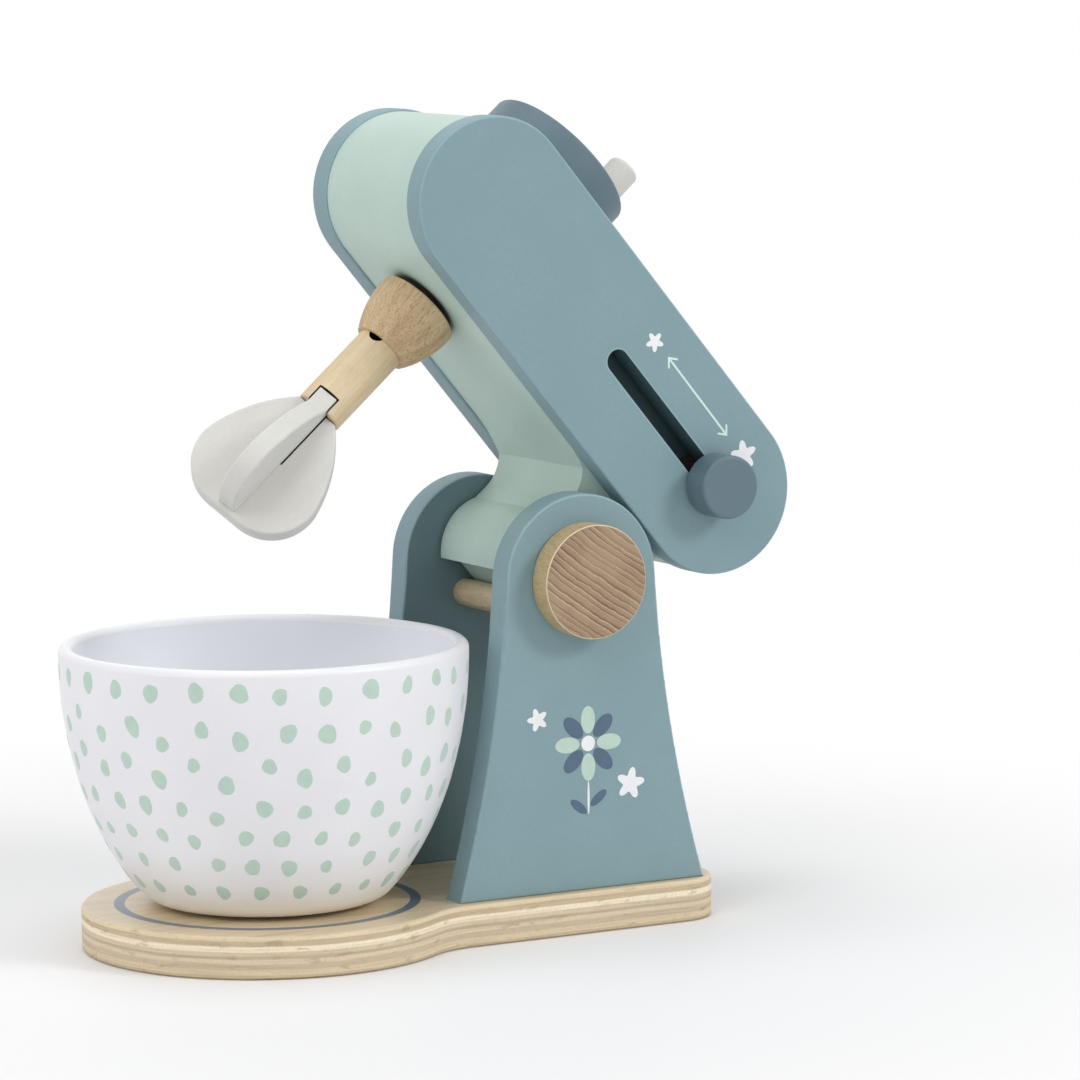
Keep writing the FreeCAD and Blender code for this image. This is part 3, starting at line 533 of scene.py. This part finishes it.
def ply_edge(s, z, height):
    """The board's edge: level plies with long streaks and dark patches, and a painted contact
    shadow along its bottom. Gives its relief too.
    """
    wander = s.noise(s.stretched(s.place, 1, 1, 0.3), 22, detail=2)
    drop = s.number("ADD", s.times(wander, PLY_WANDER), PLY_DROP)
    depth = s.number("SUBTRACT", height, s.number("ADD", z, drop))
    streak = s.noise(s.stretched(s.place, 0.05, 0.05, 2.2), 1.3, detail=4, roughness=0.6)
    fine = s.noise(s.stretched(s.place, 0.08, 0.08, 3.0), 0.7, detail=3, roughness=0.6)
    patch = s.noise(s.stretched(s.place, 0.35, 0.35, 1.2), 2.6, detail=3, roughness=0.6)
    pores = s.noise(s.stretched(s.place, 1.0, 1.0, 0.5), 0.4, detail=3, roughness=0.7)
    edge = s.ramp(s.number("DIVIDE", depth, height), ply_stops(height))
    edge = s.stain(edge, PLY_DARK, streak, 0.45, 0.75, share=0.34)
    edge = s.stain(edge, PLY_PALE, fine, 0.5, 0.75, share=0.4)
    edge = s.stain(edge, PLY_DARK, patch, 0.57, 0.72, share=0.5)
    edge = s.stain(edge, PLY_DARK, pores, 0.5, 0.75, share=0.3)
    # Painted contact shadow along the board's bottom edge.
    edge = s.stain(edge, FOOT_PAINTED_SHADE, z, 0.6, 0.2)
    return edge, s.number("ADD", streak, s.times(pores, 0.5))


def veneer_top(s, x, y):
    """The top veneer, with its long figure and the blue ring that is painted on it."""
    figure = s.noise(s.stretched(s.place, 0.06, 0.8, 0.06), 2.4, detail=5, roughness=0.6)
    ticks = s.noise(s.stretched(s.place, 0.5, 4.0, 1), 0.9, detail=2)
    top = s.stain(VENEER, VENEER_STREAK, figure, 0.4, 0.68)
    top = s.stain(top, PLY_DARK, ticks, 0.66, 0.78, share=0.3)
    beside = s.number("SUBTRACT", x, BOWL_CENTRE.x / MM)
    radius = s.length(beside, s.number("SUBTRACT", y, BOWL_CENTRE.y / MM))
    radius = s.number("ADD", radius, s.times(s.noise(s.place, 1.5, detail=3), RING_WOBBLE))
    ring = s.within(radius, RING_INNER_RADIUS + RING_SOFT, RING_OUTER_RADIUS, RING_SOFT)
    ring_ink = s.stain(RING_BLUE, shade(RING_BLUE, 1.15), figure, 0.35, 0.7)
    return s.mix(s.times(ring, RING_COVER), top, ring_ink)


def plywood():
    """Birch plywood: a pale veneer with a painted ring on top, and plies along the edge."""
    s = Shader("birch_plywood", roughness=0.55, coat_roughness=0.3)
    x, y, z = s.parts(s.place)
    edge, relief = ply_edge(s, z, BASE_HIGH.z / MM)
    facing_up = s.between(s.number("ABSOLUTE", s.normal()[2]), 0.6, 0.85)
    s.set("Base Color", s.mix(facing_up, edge, veneer_top(s, x, y)))
    s.set("Normal", s.bump(relief, 0.04))
    s.set("Roughness", s.between(relief, 0.3, 1.1, 0.48, 0.62))
    s.set("Coat Weight", s.times(facing_up, VENEER_SHEEN))
    return s.material


# Growth rings cross the caps' faces as long flat arcs about a centre well above and behind.
# Each year starts pale, fades to the middle tone, and ends in a dark line.
RINGS_DISTANCE = 220.0
RINGS_ANGLE = math.radians(56)
RING_SPACING = 1.85
RING_WAVE = 1.5  # how far a ring strays over its length
RING_RIPPLE = 0.45  # and how far it strays over a short stretch
RING_CROWDING = 2.6  # how many years the wide and narrow spells shift it by
YEAR_TONES = (
    (0.0, BEECH_LIGHT),
    (0.1, BEECH_LIGHT),
    (0.26, BEECH_MID),
    (0.62, shade(BEECH_MID, 0.95)),
    (0.84, BEECH_DARK),
    (0.985, BEECH_DARK),
    (1.0, BEECH_LIGHT),
)
YEAR_RELIEF = ((0.0, 1.0), (0.12, 0.9), (0.3, 0.5), (0.86, 0.0), (0.96, 0.0), (1.0, 1.0))


def growth_rings(s, vector):
    """How many years' growth each point is from the rings' centre."""
    centre = Vector((math.cos(RINGS_ANGLE), 0, math.sin(RINGS_ANGLE))) * RINGS_DISTANCE
    x, _, z = s.parts(s.vector("SUBTRACT", vector, tuple(centre)))
    drawn_out = s.stretched(vector, 1, 0.1, 1)
    wave = s.noise(drawn_out, 8, detail=3)
    ripple = s.noise(drawn_out, 2.2, detail=2)
    distance = s.number("ADD", s.length(x, z), s.times(wave, RING_WAVE))
    distance = s.number("ADD", distance, s.times(ripple, RING_RIPPLE))
    crowding = s.times(s.noise(s.join(distance, 0, 0), 5.0, detail=2), RING_CROWDING)
    return s.number("ADD", s.number("DIVIDE", distance, RING_SPACING), crowding)


def beech_cap():
    """A cap turned from a beech rod: growth rings on its face, long grain on its rim, and a
    painted highlight on its rounded edge.
    """
    s = Shader("beech_cap", roughness=0.6, specular=0.3)
    vector = s.vector("SUBTRACT", s.place, tuple(x / MM for x in TILT_PIVOT))
    years = growth_rings(s, vector)
    year = s.number("FRACT", years)
    faintness = s.add("TexWhiteNoise", {"W": s.number("FLOOR", years)}, noise_dimensions="1D")
    fibres = s.noise(vector, 0.45, detail=3, roughness=0.7)
    face = s.ramp(year, YEAR_TONES)
    face = s.stain(face, BEECH_MID, faintness, 0, 1, share=0.5)
    face = s.stain(face, BEECH_DARK, fibres, 0.4, 0.75, share=0.4)
    face = s.stain(face, BEECH_LIGHT, s.noise(vector, 12, detail=2), 0.35, 0.7, share=0.25)

    grain = s.noise(s.stretched(vector, 1, 0.2, 1), 0.7, detail=4, roughness=0.65)
    side = s.stain(BEECH_SIDE, BEECH_SIDE_DARK, grain, 0.38, 0.7, share=0.8)

    squareness = s.number("ABSOLUTE", s.normal()[1])
    # Painted highlight on the rounded edge between face and side.
    rim = s.stain(side, BEECH_RIM_HIGHLIGHT, squareness, 0.3, 0.5)
    on_face = s.between(squareness, 0.86, 0.95)
    s.set("Base Color", s.mix(on_face, rim, face))

    rise = s.ramp(year, [(place, (level, level, level, 1)) for place, level in YEAR_RELIEF])
    relief = s.number("ADD", s.times(rise, on_face), s.times(fibres, 0.5))
    s.set("Normal", s.bump(relief, 0.16))
    return s.material


def long_grain(s, vector, axis, light, dark, fleck, fleck_share):
    """Wood with its grain along one axis of the vector, and the short dark rays of beech."""

    def drawn_out(factor):
        factors = [1.0] * 3
        factors[axis] = factor
        return s.stretched(vector, *factors)

    figure = s.noise(drawn_out(0.06), 2.6, detail=4, roughness=0.6)
    fine = s.noise(drawn_out(0.12), 0.4, detail=3, roughness=0.6)
    rays = s.noise(drawn_out(0.11), 0.27, detail=2)
    cloud = s.noise(vector, 7, detail=2)
    tone = s.stain(light, dark, figure, 0.32, 0.7)
    tone = s.stain(tone, dark, fine, 0.35, 0.7, share=0.4)
    tone = s.stain(tone, light, cloud, 0.4, 0.7, share=0.3)
    tone = s.stain(tone, fleck, rays, 0.54, 0.66, share=fleck_share)
    s.set("Roughness", s.between(fine, 0.2, 0.8, 0.48, 0.64))
    s.set("Normal", s.bump(s.number("ADD", fine, s.times(rays, -0.7)), 0.03))
    return tone


WOOD_ROUGHNESS = 0.55
WOOD_SPECULAR = 0.35


def wood(name, tones, axis=2):
    """Long-grained wood. Axis 2 is the whisk's own axis, and axis 1 lies across the toy."""
    s = Shader(name, WOOD_ROUGHNESS, WOOD_SPECULAR)
    vector = s.turned(DRIVE_ANGLE, TILT_PIVOT)
    s.set("Base Color", long_grain(s, vector, axis, **tones))
    return s.material


WHISK_SHAFT_RADIUS = 7.0
SHAFT_INSIDE = (0.25, 0.5)  # the painted shade inside sets in between these depths below its surface
SHAFT_FOOT = (0.2, 0.6)  # and between these heights above its end, which stays pale


def whisk_shaft_wood():
    """The whisk's shaft, with painted shade inside its cross hole and its slots."""
    s = Shader("maple_shaft", WOOD_ROUGHNESS, WOOD_SPECULAR)
    tone = long_grain(s, s.turned(DRIVE_ANGLE, TILT_PIVOT), 2, **MAPLE)
    beside, past, above = s.parts(s.turned(DRIVE_ANGLE, DRIVE_PIVOT))
    radius = s.length(beside, past)
    inside = s.between(radius, *(WHISK_SHAFT_RADIUS - depth for depth in SHAFT_INSIDE))
    foot = drive_foot("whisk_shaft")
    above_foot = s.between(above, *(foot + height for height in SHAFT_FOOT))
    s.set("Base Color", s.mix(s.times(inside, above_foot), tone, BORE_PAINTED_SHADE))
    return s.material


def steel():
    """Zinc-plated screws, lightly brushed round their axes."""
    s = Shader("screw_steel", roughness=0.35, metallic=1.0)
    brush = s.noise(s.stretched(s.place, 1, 1, 6), 0.4, detail=3)
    s.set("Base Color", s.stain(ZINC_DARK, ZINC_LIGHT, brush, 0.3, 0.7))
    s.set("Roughness", s.between(brush, 0.3, 0.7, 0.28, 0.42))
    return s.material


def dress(material, *nodes):
    """Gives the material to every slot of those CAD nodes."""
    for name in nodes:
        piece = frame["nodes"][name]
        piece.data.materials.clear()
        piece.data.materials.append(material)


def dress_all():
    dress(plywood(), "base_board")
    dress(painted_board("slate_near_pillar", PILLAR_SLATE), "near_pillar")
    dress(painted_board("slate_far_pillar", PILLAR_SLATE, FAR_PILLAR_PAINTED_SHADE), "far_pillar")
    dress(painted_board("slate_panel", SLATE), "far_side_panel")
    dress(slotted_board(), "near_side_panel")
    turnings = painted("dark_slate_turnings", DARK_SLATE, TURNING_ROUGHNESS)
    dress(turnings, "crank_disc", "slider_knob")
    dress(core_paint(), "head_core")
    for blade in ("whisk_blade_a", "whisk_blade_b"):
        dress(blade_paint("grey_" + blade, PALE_GREY, drive_foot(blade)), blade)
    dress(blade_paint("grey_peg", PEG_GREY), "crank_peg")
    dress(bowl_paint(), "bowl")
    dress(beech_cap(), "near_pivot_cap", "far_pivot_cap")
    dress(wood("beech_socket", SOCKET_BEECH), "whisk_socket")
    dress(whisk_shaft_wood(), "whisk_shaft")
    dress(wood("maple_drive", MAPLE), "drive_shaft")
    dress(wood("beech_dowel", DOWEL_BEECH, axis=1), "stop_dowel", "pivot_axle", "panel_dowels")
    dress(wood("dark_retainer", SHADED_SLOT_WOOD, axis=1), "slider_retainer", "slider_stem")
    dress(steel(), "pillar_screws")


# ---------------------------------------------------------------- printed films

FILM = 0.05 * MM  # how far a print stands on its surface
FILM_ROOT = 0.03 * MM  # how far it reaches below it


def ink(name, colour):
    """Screen-printed ink: even, matt, and a little thin over the paint's texture."""
    s = Shader(name, roughness=0.55)
    speck = sprayed(s)
    patch = s.noise(s.place, 3.0, detail=3)
    tone = s.stain(colour, shade(colour, 0.95), patch, 0.35, 0.7)
    tone = s.stain(tone, shade(colour, 0.9), speck, 0.45, 0.8, share=0.4)
    s.set("Base Color", tone)
    s.set("Normal", s.bump(speck, PAINT_FILM))
    return s.material


def new_piece(name, vertices, faces, material, body):
    """A mesh piece that rides on a body."""
    mesh = bpy.data.meshes.new(name)
    mesh.from_pydata(vertices, [], faces)
    mesh.validate()
    mesh.update()
    mesh.materials.append(material)
    piece = bpy.data.objects.new(name, mesh)
    bpy.context.scene.collection.objects.link(piece)
    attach(piece, body)
    return piece


def flat_print(name, outlines, place, material, body):
    """Thin solids with those outlines, in millimetres on the plane that place gives."""
    vertices = []
    faces = []
    for outline in outlines:
        count = len(outline)
        low = len(vertices)
        high = low + count
        for level in (-FILM_ROOT, FILM):
            vertices += [place @ Vector((x * MM, y * MM, level)) for x, y in outline]
        faces.append([high + i for i in range(count)])
        faces.append([low + i for i in reversed(range(count))])
        for i in range(count):
            after = (i + 1) % count
            faces.append([low + i, low + after, high + after, high + i])
    return new_piece(name, vertices, faces, material, body)


def facing_front(matrix, y):
    """A print's plane on a face that looks towards -Y: x along, y up, z out of the face."""
    return matrix @ Matrix.Translation((0, y, 0)) @ Matrix.Rotation(math.radians(90), 4, "X")


def ellipse(centre, half_length, half_width, angle=0.0, steps=28):
    """The outline of an ellipse whose length leans up from the level by that angle."""
    points = []
    for i in range(steps):
        turn = 2 * math.pi * i / steps
        x = half_length * math.cos(turn)
        y = half_width * math.sin(turn)
        points.append((
            centre[0] + x * math.cos(angle) - y * math.sin(angle),
            centre[1] + x * math.sin(angle) + y * math.cos(angle),
        ))
    return points


STAR_POINTS = 5
STAR_WAIST = 0.24  # how deep the valleys between the points are


def rounded_star(centre, radius, lean, steps=70):
    """The outline of a soft star, leaning anticlockwise from upright by that angle."""
    points = []
    for i in range(steps):
        turn = 2 * math.pi * i / steps
        reach = radius * (1 - STAR_WAIST + STAR_WAIST * math.cos(STAR_POINTS * turn))
        angle = turn + lean + math.pi / 2
        points.append((centre[0] + reach * math.cos(angle), centre[1] + reach * math.sin(angle)))
    return points


def double_arrow(start, end, barb, half_line, barb_angle, round_steps=4):
    """The outline of a line with an open head at both ends, as one closed shape."""
    half = (Vector(end) - Vector(start)) / 2
    centre = (Vector(end) + Vector(start)) / 2
    tip = half.length - half_line / math.sin(barb_angle)
    back = Vector((-math.cos(barb_angle), math.sin(barb_angle)))
    out = Vector((math.sin(barb_angle), math.cos(barb_angle)))
    crotch = half_line * (1 + math.cos(barb_angle)) / math.sin(barb_angle)
    upper = [Vector((tip, 0)) - out * half_line + back * crotch]
    for i in range(round_steps + 1):
        turn = math.pi * i / round_steps
        rim = out * -math.cos(turn) + back * math.sin(turn)
        upper.append(Vector((tip, 0)) + back * barb + rim * half_line)
    head = upper + [Vector((half.length, 0))] + [Vector((p.x, -p.y)) for p in reversed(upper)]
    outline = head + [-p for p in head]
    turn = Matrix.Rotation(math.atan2(half.y, half.x), 2)
    return [tuple(centre + turn @ p) for p in outline]


ARROW_START = (-27.3, 61.4)
ARROW_END = (3.1, 61.2)
ARROW_BARB = 2.7
ARROW_HALF_LINE = 0.3
ARROW_BARB_ANGLE = math.radians(40)
PANEL_STARS = (
    {"centre": (-33.4, 61.0), "radius": 2.9, "lean": 0.2},
    {"centre": (11.0, 61.6), "radius": 4.3, "lean": -0.25},
)


def panel_prints(arrow_ink, white_ink):
    """A two-way arrow beside the slider's slot, between a small and a large star."""
    face = facing_front(HEAD_AXES, PANEL_FACE_Y)
    arrow = double_arrow(ARROW_START, ARROW_END, ARROW_BARB, ARROW_HALF_LINE, ARROW_BARB_ANGLE)
    flat_print("slider_arrow_print", [arrow], face, arrow_ink, "head")
    stars = [rounded_star(**star) for star in PANEL_STARS]
    flat_print("slider_star_prints", stars, face, white_ink, "head")


FLOWER_CENTRE = (1.6, 53.5)
FLOWER_RADIUS = 10.6
PETALS = 8
PETAL_HALF_LENGTH = 3.9
PETAL_HALF_WIDTH = 2.25
FLOWER_EYE_RADIUS = 2.2
STEM_LENGTH = 9.5
STEM_HALF_WIDTH = 0.35
LEAF_HALF_LENGTH = 3.2
LEAF_HALF_WIDTH = 1.3
LEAF_RISE = 3.4  # from the stem's foot
LEAF_ANGLE = math.radians(38)
PILLAR_STARS = (
    {"centre": (-14.6, 61.5), "radius": 3.3, "lean": 0.3},
    {"centre": (15.2, 41.0), "radius": 4.6, "lean": -0.2},
)


def pillar_prints(pale_ink, dark_ink, white_ink):
    """A daisy on a stem between two stars."""
    face = facing_front(Matrix.Identity(4), PILLAR_FACE_Y)
    cx, cy = FLOWER_CENTRE
    petals = []
    for i in range(PETALS):
        angle = 2 * math.pi * i / PETALS + math.pi / 2
        reach = FLOWER_RADIUS - PETAL_HALF_LENGTH
        place = (cx + reach * math.cos(angle), cy + reach * math.sin(angle))
        petals.append(ellipse(place, PETAL_HALF_LENGTH, PETAL_HALF_WIDTH, angle))
    foot = cy - FLOWER_RADIUS - STEM_LENGTH
    leaves = []
    for side in (-1, 1):
        place = (cx + side * LEAF_HALF_LENGTH, foot + LEAF_RISE + side)
        leaves.append(ellipse(place, LEAF_HALF_LENGTH, LEAF_HALF_WIDTH, side * LEAF_ANGLE))
    flat_print("flower_pale_petals", petals[::2], face, pale_ink, "stand")
    flat_print("flower_dark_petals", petals[1::2], face, dark_ink, "stand")
    flat_print("flower_leaves", leaves, face, dark_ink, "stand")
    stem = ellipse((cx, foot + STEM_LENGTH / 2), STEM_HALF_WIDTH, STEM_LENGTH / 2)
    eye = ellipse(FLOWER_CENTRE, FLOWER_EYE_RADIUS, FLOWER_EYE_RADIUS)
    stars = [rounded_star(**star) for star in PILLAR_STARS]
    white = [eye, stem] + stars
    flat_print("flower_eye_stem_and_stars", white, face, white_ink, "stand")


# The bowl's dots lie in uneven rows. Every second dot of a row with a zigzag stands that
# much higher or lower than its neighbours.
DOT_ROWS = (
    {"height": 78.1, "count": 29, "zigzag": 0.4},
    {"height": 66.4, "count": 31, "zigzag": 1.6},
    {"height": 56.0, "count": 34, "zigzag": 3.2},
    {"height": 44.6, "count": 29, "zigzag": 1.2},
    {"height": 36.2, "count": 26, "zigzag": 1.4},
    {"height": 29.2, "count": 25, "zigzag": 1.0},
    {"height": 22.6, "count": 24, "zigzag": 0.5},
)
DOT_HALF_WIDTH = (2.1, 2.85)
DOT_TALLNESS = (1.05, 1.3)
DOT_LOW_SHRINK = 0.1  # how much smaller the lowest dots are
DOT_LOW_ROUND = 0.5  # and how much of their extra height they lose
DOT_SPREAD = 1.2  # how far a dot strays from its place in the row
DOT_APART = 10.4  # dots nearer to each other than this are pushed apart
DOT_PUSH = 0.3  # the share of the lack that one push makes up
DOT_PUSHES = 6
DOT_LOWEST = 21.5
DOT_HIGHEST = 78.8
DOT_LEAN = 0.5
DOT_WAVES = ((2, 0.06), (3, 0.06), (5, 0.02))  # how often and how far the outline waves
DOT_STEPS = 20
DOT_RINGS = (0.35, 0.7, 1.0)
DOT_SEED = 11
WELL_OUTSIDE = 1.2  # rays towards the bowl's wall start at this many times its rim's radius


def outer_wall(tree, angle, height):
    """The point and normal of the bowl's outside at that angle and height."""
    way = Vector((math.cos(angle), math.sin(angle), 0))
    start = Vector((BOWL_CENTRE.x, BOWL_CENTRE.y, height)) + way * BOWL_RIM_RADIUS * WELL_OUTSIDE
    point, normal, _, _ = tree.ray_cast(start, -way)
    return point, normal


def dot_outline(chance, half_width, half_height):
    """An uneven round outline, as points in millimetres about the dot's centre."""
    lean = chance.uniform(-DOT_LEAN, DOT_LEAN)
    waves = [(often, chance.uniform(0, 2 * math.pi), far) for often, far in DOT_WAVES]
    points = []
    for step in range(DOT_STEPS):
        turn = 2 * math.pi * step / DOT_STEPS
        bulge = 1 + sum(far * math.cos(often * turn + phase) for often, phase, far in waves)
        x = bulge * half_width * math.cos(turn)
        y = bulge * half_height * math.sin(turn)
        points.append(Vector((
            x * math.cos(lean) - y * math.sin(lean),
            x * math.sin(lean) + y * math.cos(lean),
        )))
    return points


def dot_faces(first):
    """The faces of a dot: a fan about its hub, then rings of quads out to its edge."""
    hub = first + len(DOT_RINGS) * DOT_STEPS
    faces = []
    for step in range(DOT_STEPS):
        after = (step + 1) % DOT_STEPS
        faces.append([hub, first + step, first + after])
        for ring in range(len(DOT_RINGS) - 1):
            low = first + ring * DOT_STEPS
            high = low + DOT_STEPS
            faces.append([low + step, high + step, high + after, low + after])
    return faces


def even_out(dots, radii):
    """Pushes dots that crowd each other apart along the wall, a little at a time.

    Each dot is an angle and a level in millimetres, and radii gives the wall's radius by level.
    """
    for _ in range(DOT_PUSHES):
        pushes = []
        for angle, level in dots:
            push = Vector((0, 0))
            for other_angle, other_level in dots:
                turn = math.remainder(angle - other_angle, 2 * math.pi)
                apart = Vector((turn * radii[round(level)], level - other_level))
                if 0 < apart.length < DOT_APART:
                    push += apart.normalized() * (DOT_APART - apart.length) * DOT_PUSH
            pushes.append(push)
        moved = []
        for (angle, level), push in zip(dots, pushes):
            angle += push.x / radii[round(level)]
            moved.append((angle, min(max(level + push.y, DOT_LOWEST), DOT_HIGHEST)))
        dots = moved
    return dots


def bowl_dots(dot_ink):
    """Hand-drawn dots round the bowl in uneven rows, smaller towards its foot."""
    bowl = frame["nodes"]["bowl"]
    corners = [v.co.copy() for v in bowl.data.vertices]
    tree = BVHTree.FromPolygons(corners, [list(p.vertices) for p in bowl.data.polygons])
    radii = {}
    for level in range(math.floor(DOT_LOWEST), math.ceil(DOT_HIGHEST) + 1):
        radii[level] = (outer_wall(tree, 0.0, level * MM)[0].xy - BOWL_CENTRE.xy).length / MM

    chance = random.Random(DOT_SEED)
    dots = []
    for row, settings in enumerate(DOT_ROWS):
        for i in range(settings["count"]):
            angle = 2 * math.pi * (i + 0.5 * (row % 2)) / settings["count"]
            angle += chance.uniform(-DOT_SPREAD, DOT_SPREAD) / radii[round(settings["height"])]
            level = settings["height"] + (1 if i % 2 else -1) * settings["zigzag"]
            dots.append((angle, level + chance.uniform(-DOT_SPREAD, DOT_SPREAD)))

    vertices = []
    faces = []
    for angle, level in even_out(dots, radii):
        lowness = (DOT_HIGHEST - level) / (DOT_HIGHEST - DOT_LOWEST)
        half_width = chance.uniform(*DOT_HALF_WIDTH) * (1 - DOT_LOW_SHRINK * lowness)
        tallness = 1 + (chance.uniform(*DOT_TALLNESS) - 1) * (1 - DOT_LOW_ROUND * lowness)
        outline = dot_outline(chance, half_width, half_width * tallness)
        faces += dot_faces(len(vertices))
        for ring in DOT_RINGS:
            lift = FILM if ring < 1.0 else -FILM_ROOT
            for p in outline:
                turn = ring * p.x / radii[round(level)]
                point, normal = outer_wall(tree, angle + turn, (level + ring * p.y) * MM)
                vertices.append(point + normal * lift)
        point, normal = outer_wall(tree, angle, level * MM)
        vertices.append(point + normal * FILM)
    return new_piece("bowl_dots", vertices, faces, dot_ink, "bowl")


def prints():
    mint_ink = ink("mint_ink", PRINT_MINT)
    white_ink = ink("white_ink", PRINT_WHITE)
    panel_prints(ink("arrow_ink", PRINT_ARROW), white_ink)
    pillar_prints(mint_ink, ink("navy_ink", PRINT_NAVY), white_ink)
    bowl_dots(mint_ink)


# ---------------------------------------------------------------- camera, light and floor

CAMERA_PLACE = Vector((-0.7299, -1.2993, 0.2934))
CAMERA_AIM = Vector((-0.0013, -0.0128, 0.1088))
CAMERA_ROLL = math.radians(-0.49)
CAMERA_LENS = 176.4
CAMERA_CLIP = (0.05, 30.0)
SENSOR_WIDTH = 36.0


def camera():
    data = bpy.data.cameras.new("camera")
    data.lens = CAMERA_LENS
    data.sensor_width = SENSOR_WIDTH
    data.clip_start, data.clip_end = CAMERA_CLIP
    view = bpy.data.objects.new("camera", data)
    turn = (CAMERA_AIM - CAMERA_PLACE).to_track_quat("-Z", "Y").to_matrix().to_4x4()
    roll = Matrix.Rotation(CAMERA_ROLL, 4, "Z")
    view.matrix_world = Matrix.Translation(CAMERA_PLACE) @ turn @ roll
    bpy.context.scene.collection.objects.link(view)
    bpy.context.scene.camera = view


# A lamp's level is the brightness that it gives a white card that faces it at the object.
LAMPS = {
    "top": {"place": (-0.1, 0.0, 1.6), "size": 1.2, "level": 0.33},
    "right": {"place": (1.0, -1.3, 1.0), "size": 0.55, "level": 0.33},
    "upper_left": {"place": (-1.1, -0.7, 1.2), "size": 0.9, "level": 0.18},
    "left": {"place": (-1.6, 0.4, 0.7), "size": 0.9, "level": 0.14},
    "back": {"place": (0.3, 1.4, 1.2), "size": 1.0, "level": 0.05},
}
WORLD_LEVEL = 0.485
LAMP_AIM = Vector((0, 0, 0.11))


def lamp(name, place, size, level):
    data = bpy.data.lights.new(name, "AREA")
    data.shape = "DISK"
    data.size = size
    way = LAMP_AIM - Vector(place)
    data.energy = level * math.pi**2 * way.length_squared
    light = bpy.data.objects.new(name, data)
    light.location = place
    light.rotation_mode = "QUATERNION"
    light.rotation_quaternion = way.to_track_quat("-Z", "Y")
    bpy.context.scene.collection.objects.link(light)


def seen_ray(tree):
    """1 for the rays of the camera, of reflections and of glass, which see a white room."""
    path = tree.nodes.new("ShaderNodeLightPath")
    seen = path.outputs["Is Camera Ray"]
    for other in ("Is Glossy Ray", "Is Transmission Ray"):
        larger = tree.nodes.new("ShaderNodeMath")
        larger.operation = "MAXIMUM"
        tree.links.new(seen, larger.inputs[0])
        tree.links.new(path.outputs[other], larger.inputs[1])
        seen = larger.outputs[0]
    return seen


def world():
    room = bpy.data.worlds.new("studio")
    room.use_nodes = True
    tree = room.node_tree
    strength = tree.nodes.new("ShaderNodeMapRange")
    tree.links.new(seen_ray(tree), strength.inputs["Value"])
    strength.inputs["To Min"].default_value = WORLD_LEVEL
    strength.inputs["To Max"].default_value = 1.0
    background = tree.nodes["Background"]
    background.inputs["Color"].default_value = (1, 1, 1, 1)
    tree.links.new(strength.outputs[0], background.inputs["Strength"])
    bpy.context.scene.world = room


FLOOR_RADIUS = 12.0
FLOOR_CORNERS = 48
FLOOR_COLOUR = srgb(238, 238, 239)
# The floor turns white between two distances from a point, all in metres.
FADE_CENTRE = (-0.08, -0.01, 0)
FADE_START = 0.14
FADE_END = 0.4


def floor():
    """A wide pale floor that fades into the white room."""
    rim = []
    for i in range(FLOOR_CORNERS):
        turn = 2 * math.pi * i / FLOOR_CORNERS
        rim.append((FLOOR_RADIUS * math.cos(turn), FLOOR_RADIUS * math.sin(turn), 0))
    mesh = bpy.data.meshes.new("floor")
    mesh.from_pydata(rim, [], [list(range(FLOOR_CORNERS))])
    ground = bpy.data.objects.new("floor", mesh)
    bpy.context.scene.collection.objects.link(ground)
    s = Shader("floor_paper", roughness=0.6, specular=0.2)
    s.set("Base Color", FLOOR_COLOUR)
    ends = {0: s.coordinates, 1: FADE_CENTRE}
    distance = s.add("VectorMath", ends, "Value", operation="DISTANCE")
    fade = s.between(distance, FADE_START, FADE_END)
    seen = s.times(fade, seen_ray(s.tree))
    white = s.add("Emission", {"Color": (1, 1, 1, 1), "Strength": 1.0})
    blend = s.add("MixShader", {0: seen, 1: s.surface.outputs[0], 2: white})
    s.feed(s.tree.nodes["Material Output"].inputs["Surface"], blend)
    mesh.materials.append(s.material)


def main():
    dress_all()
    prints()
    camera()
    world()
    floor()
    for name, settings in LAMPS.items():
        lamp(name, **settings)
    bpy.context.scene.view_settings.view_transform = "Standard"


main()
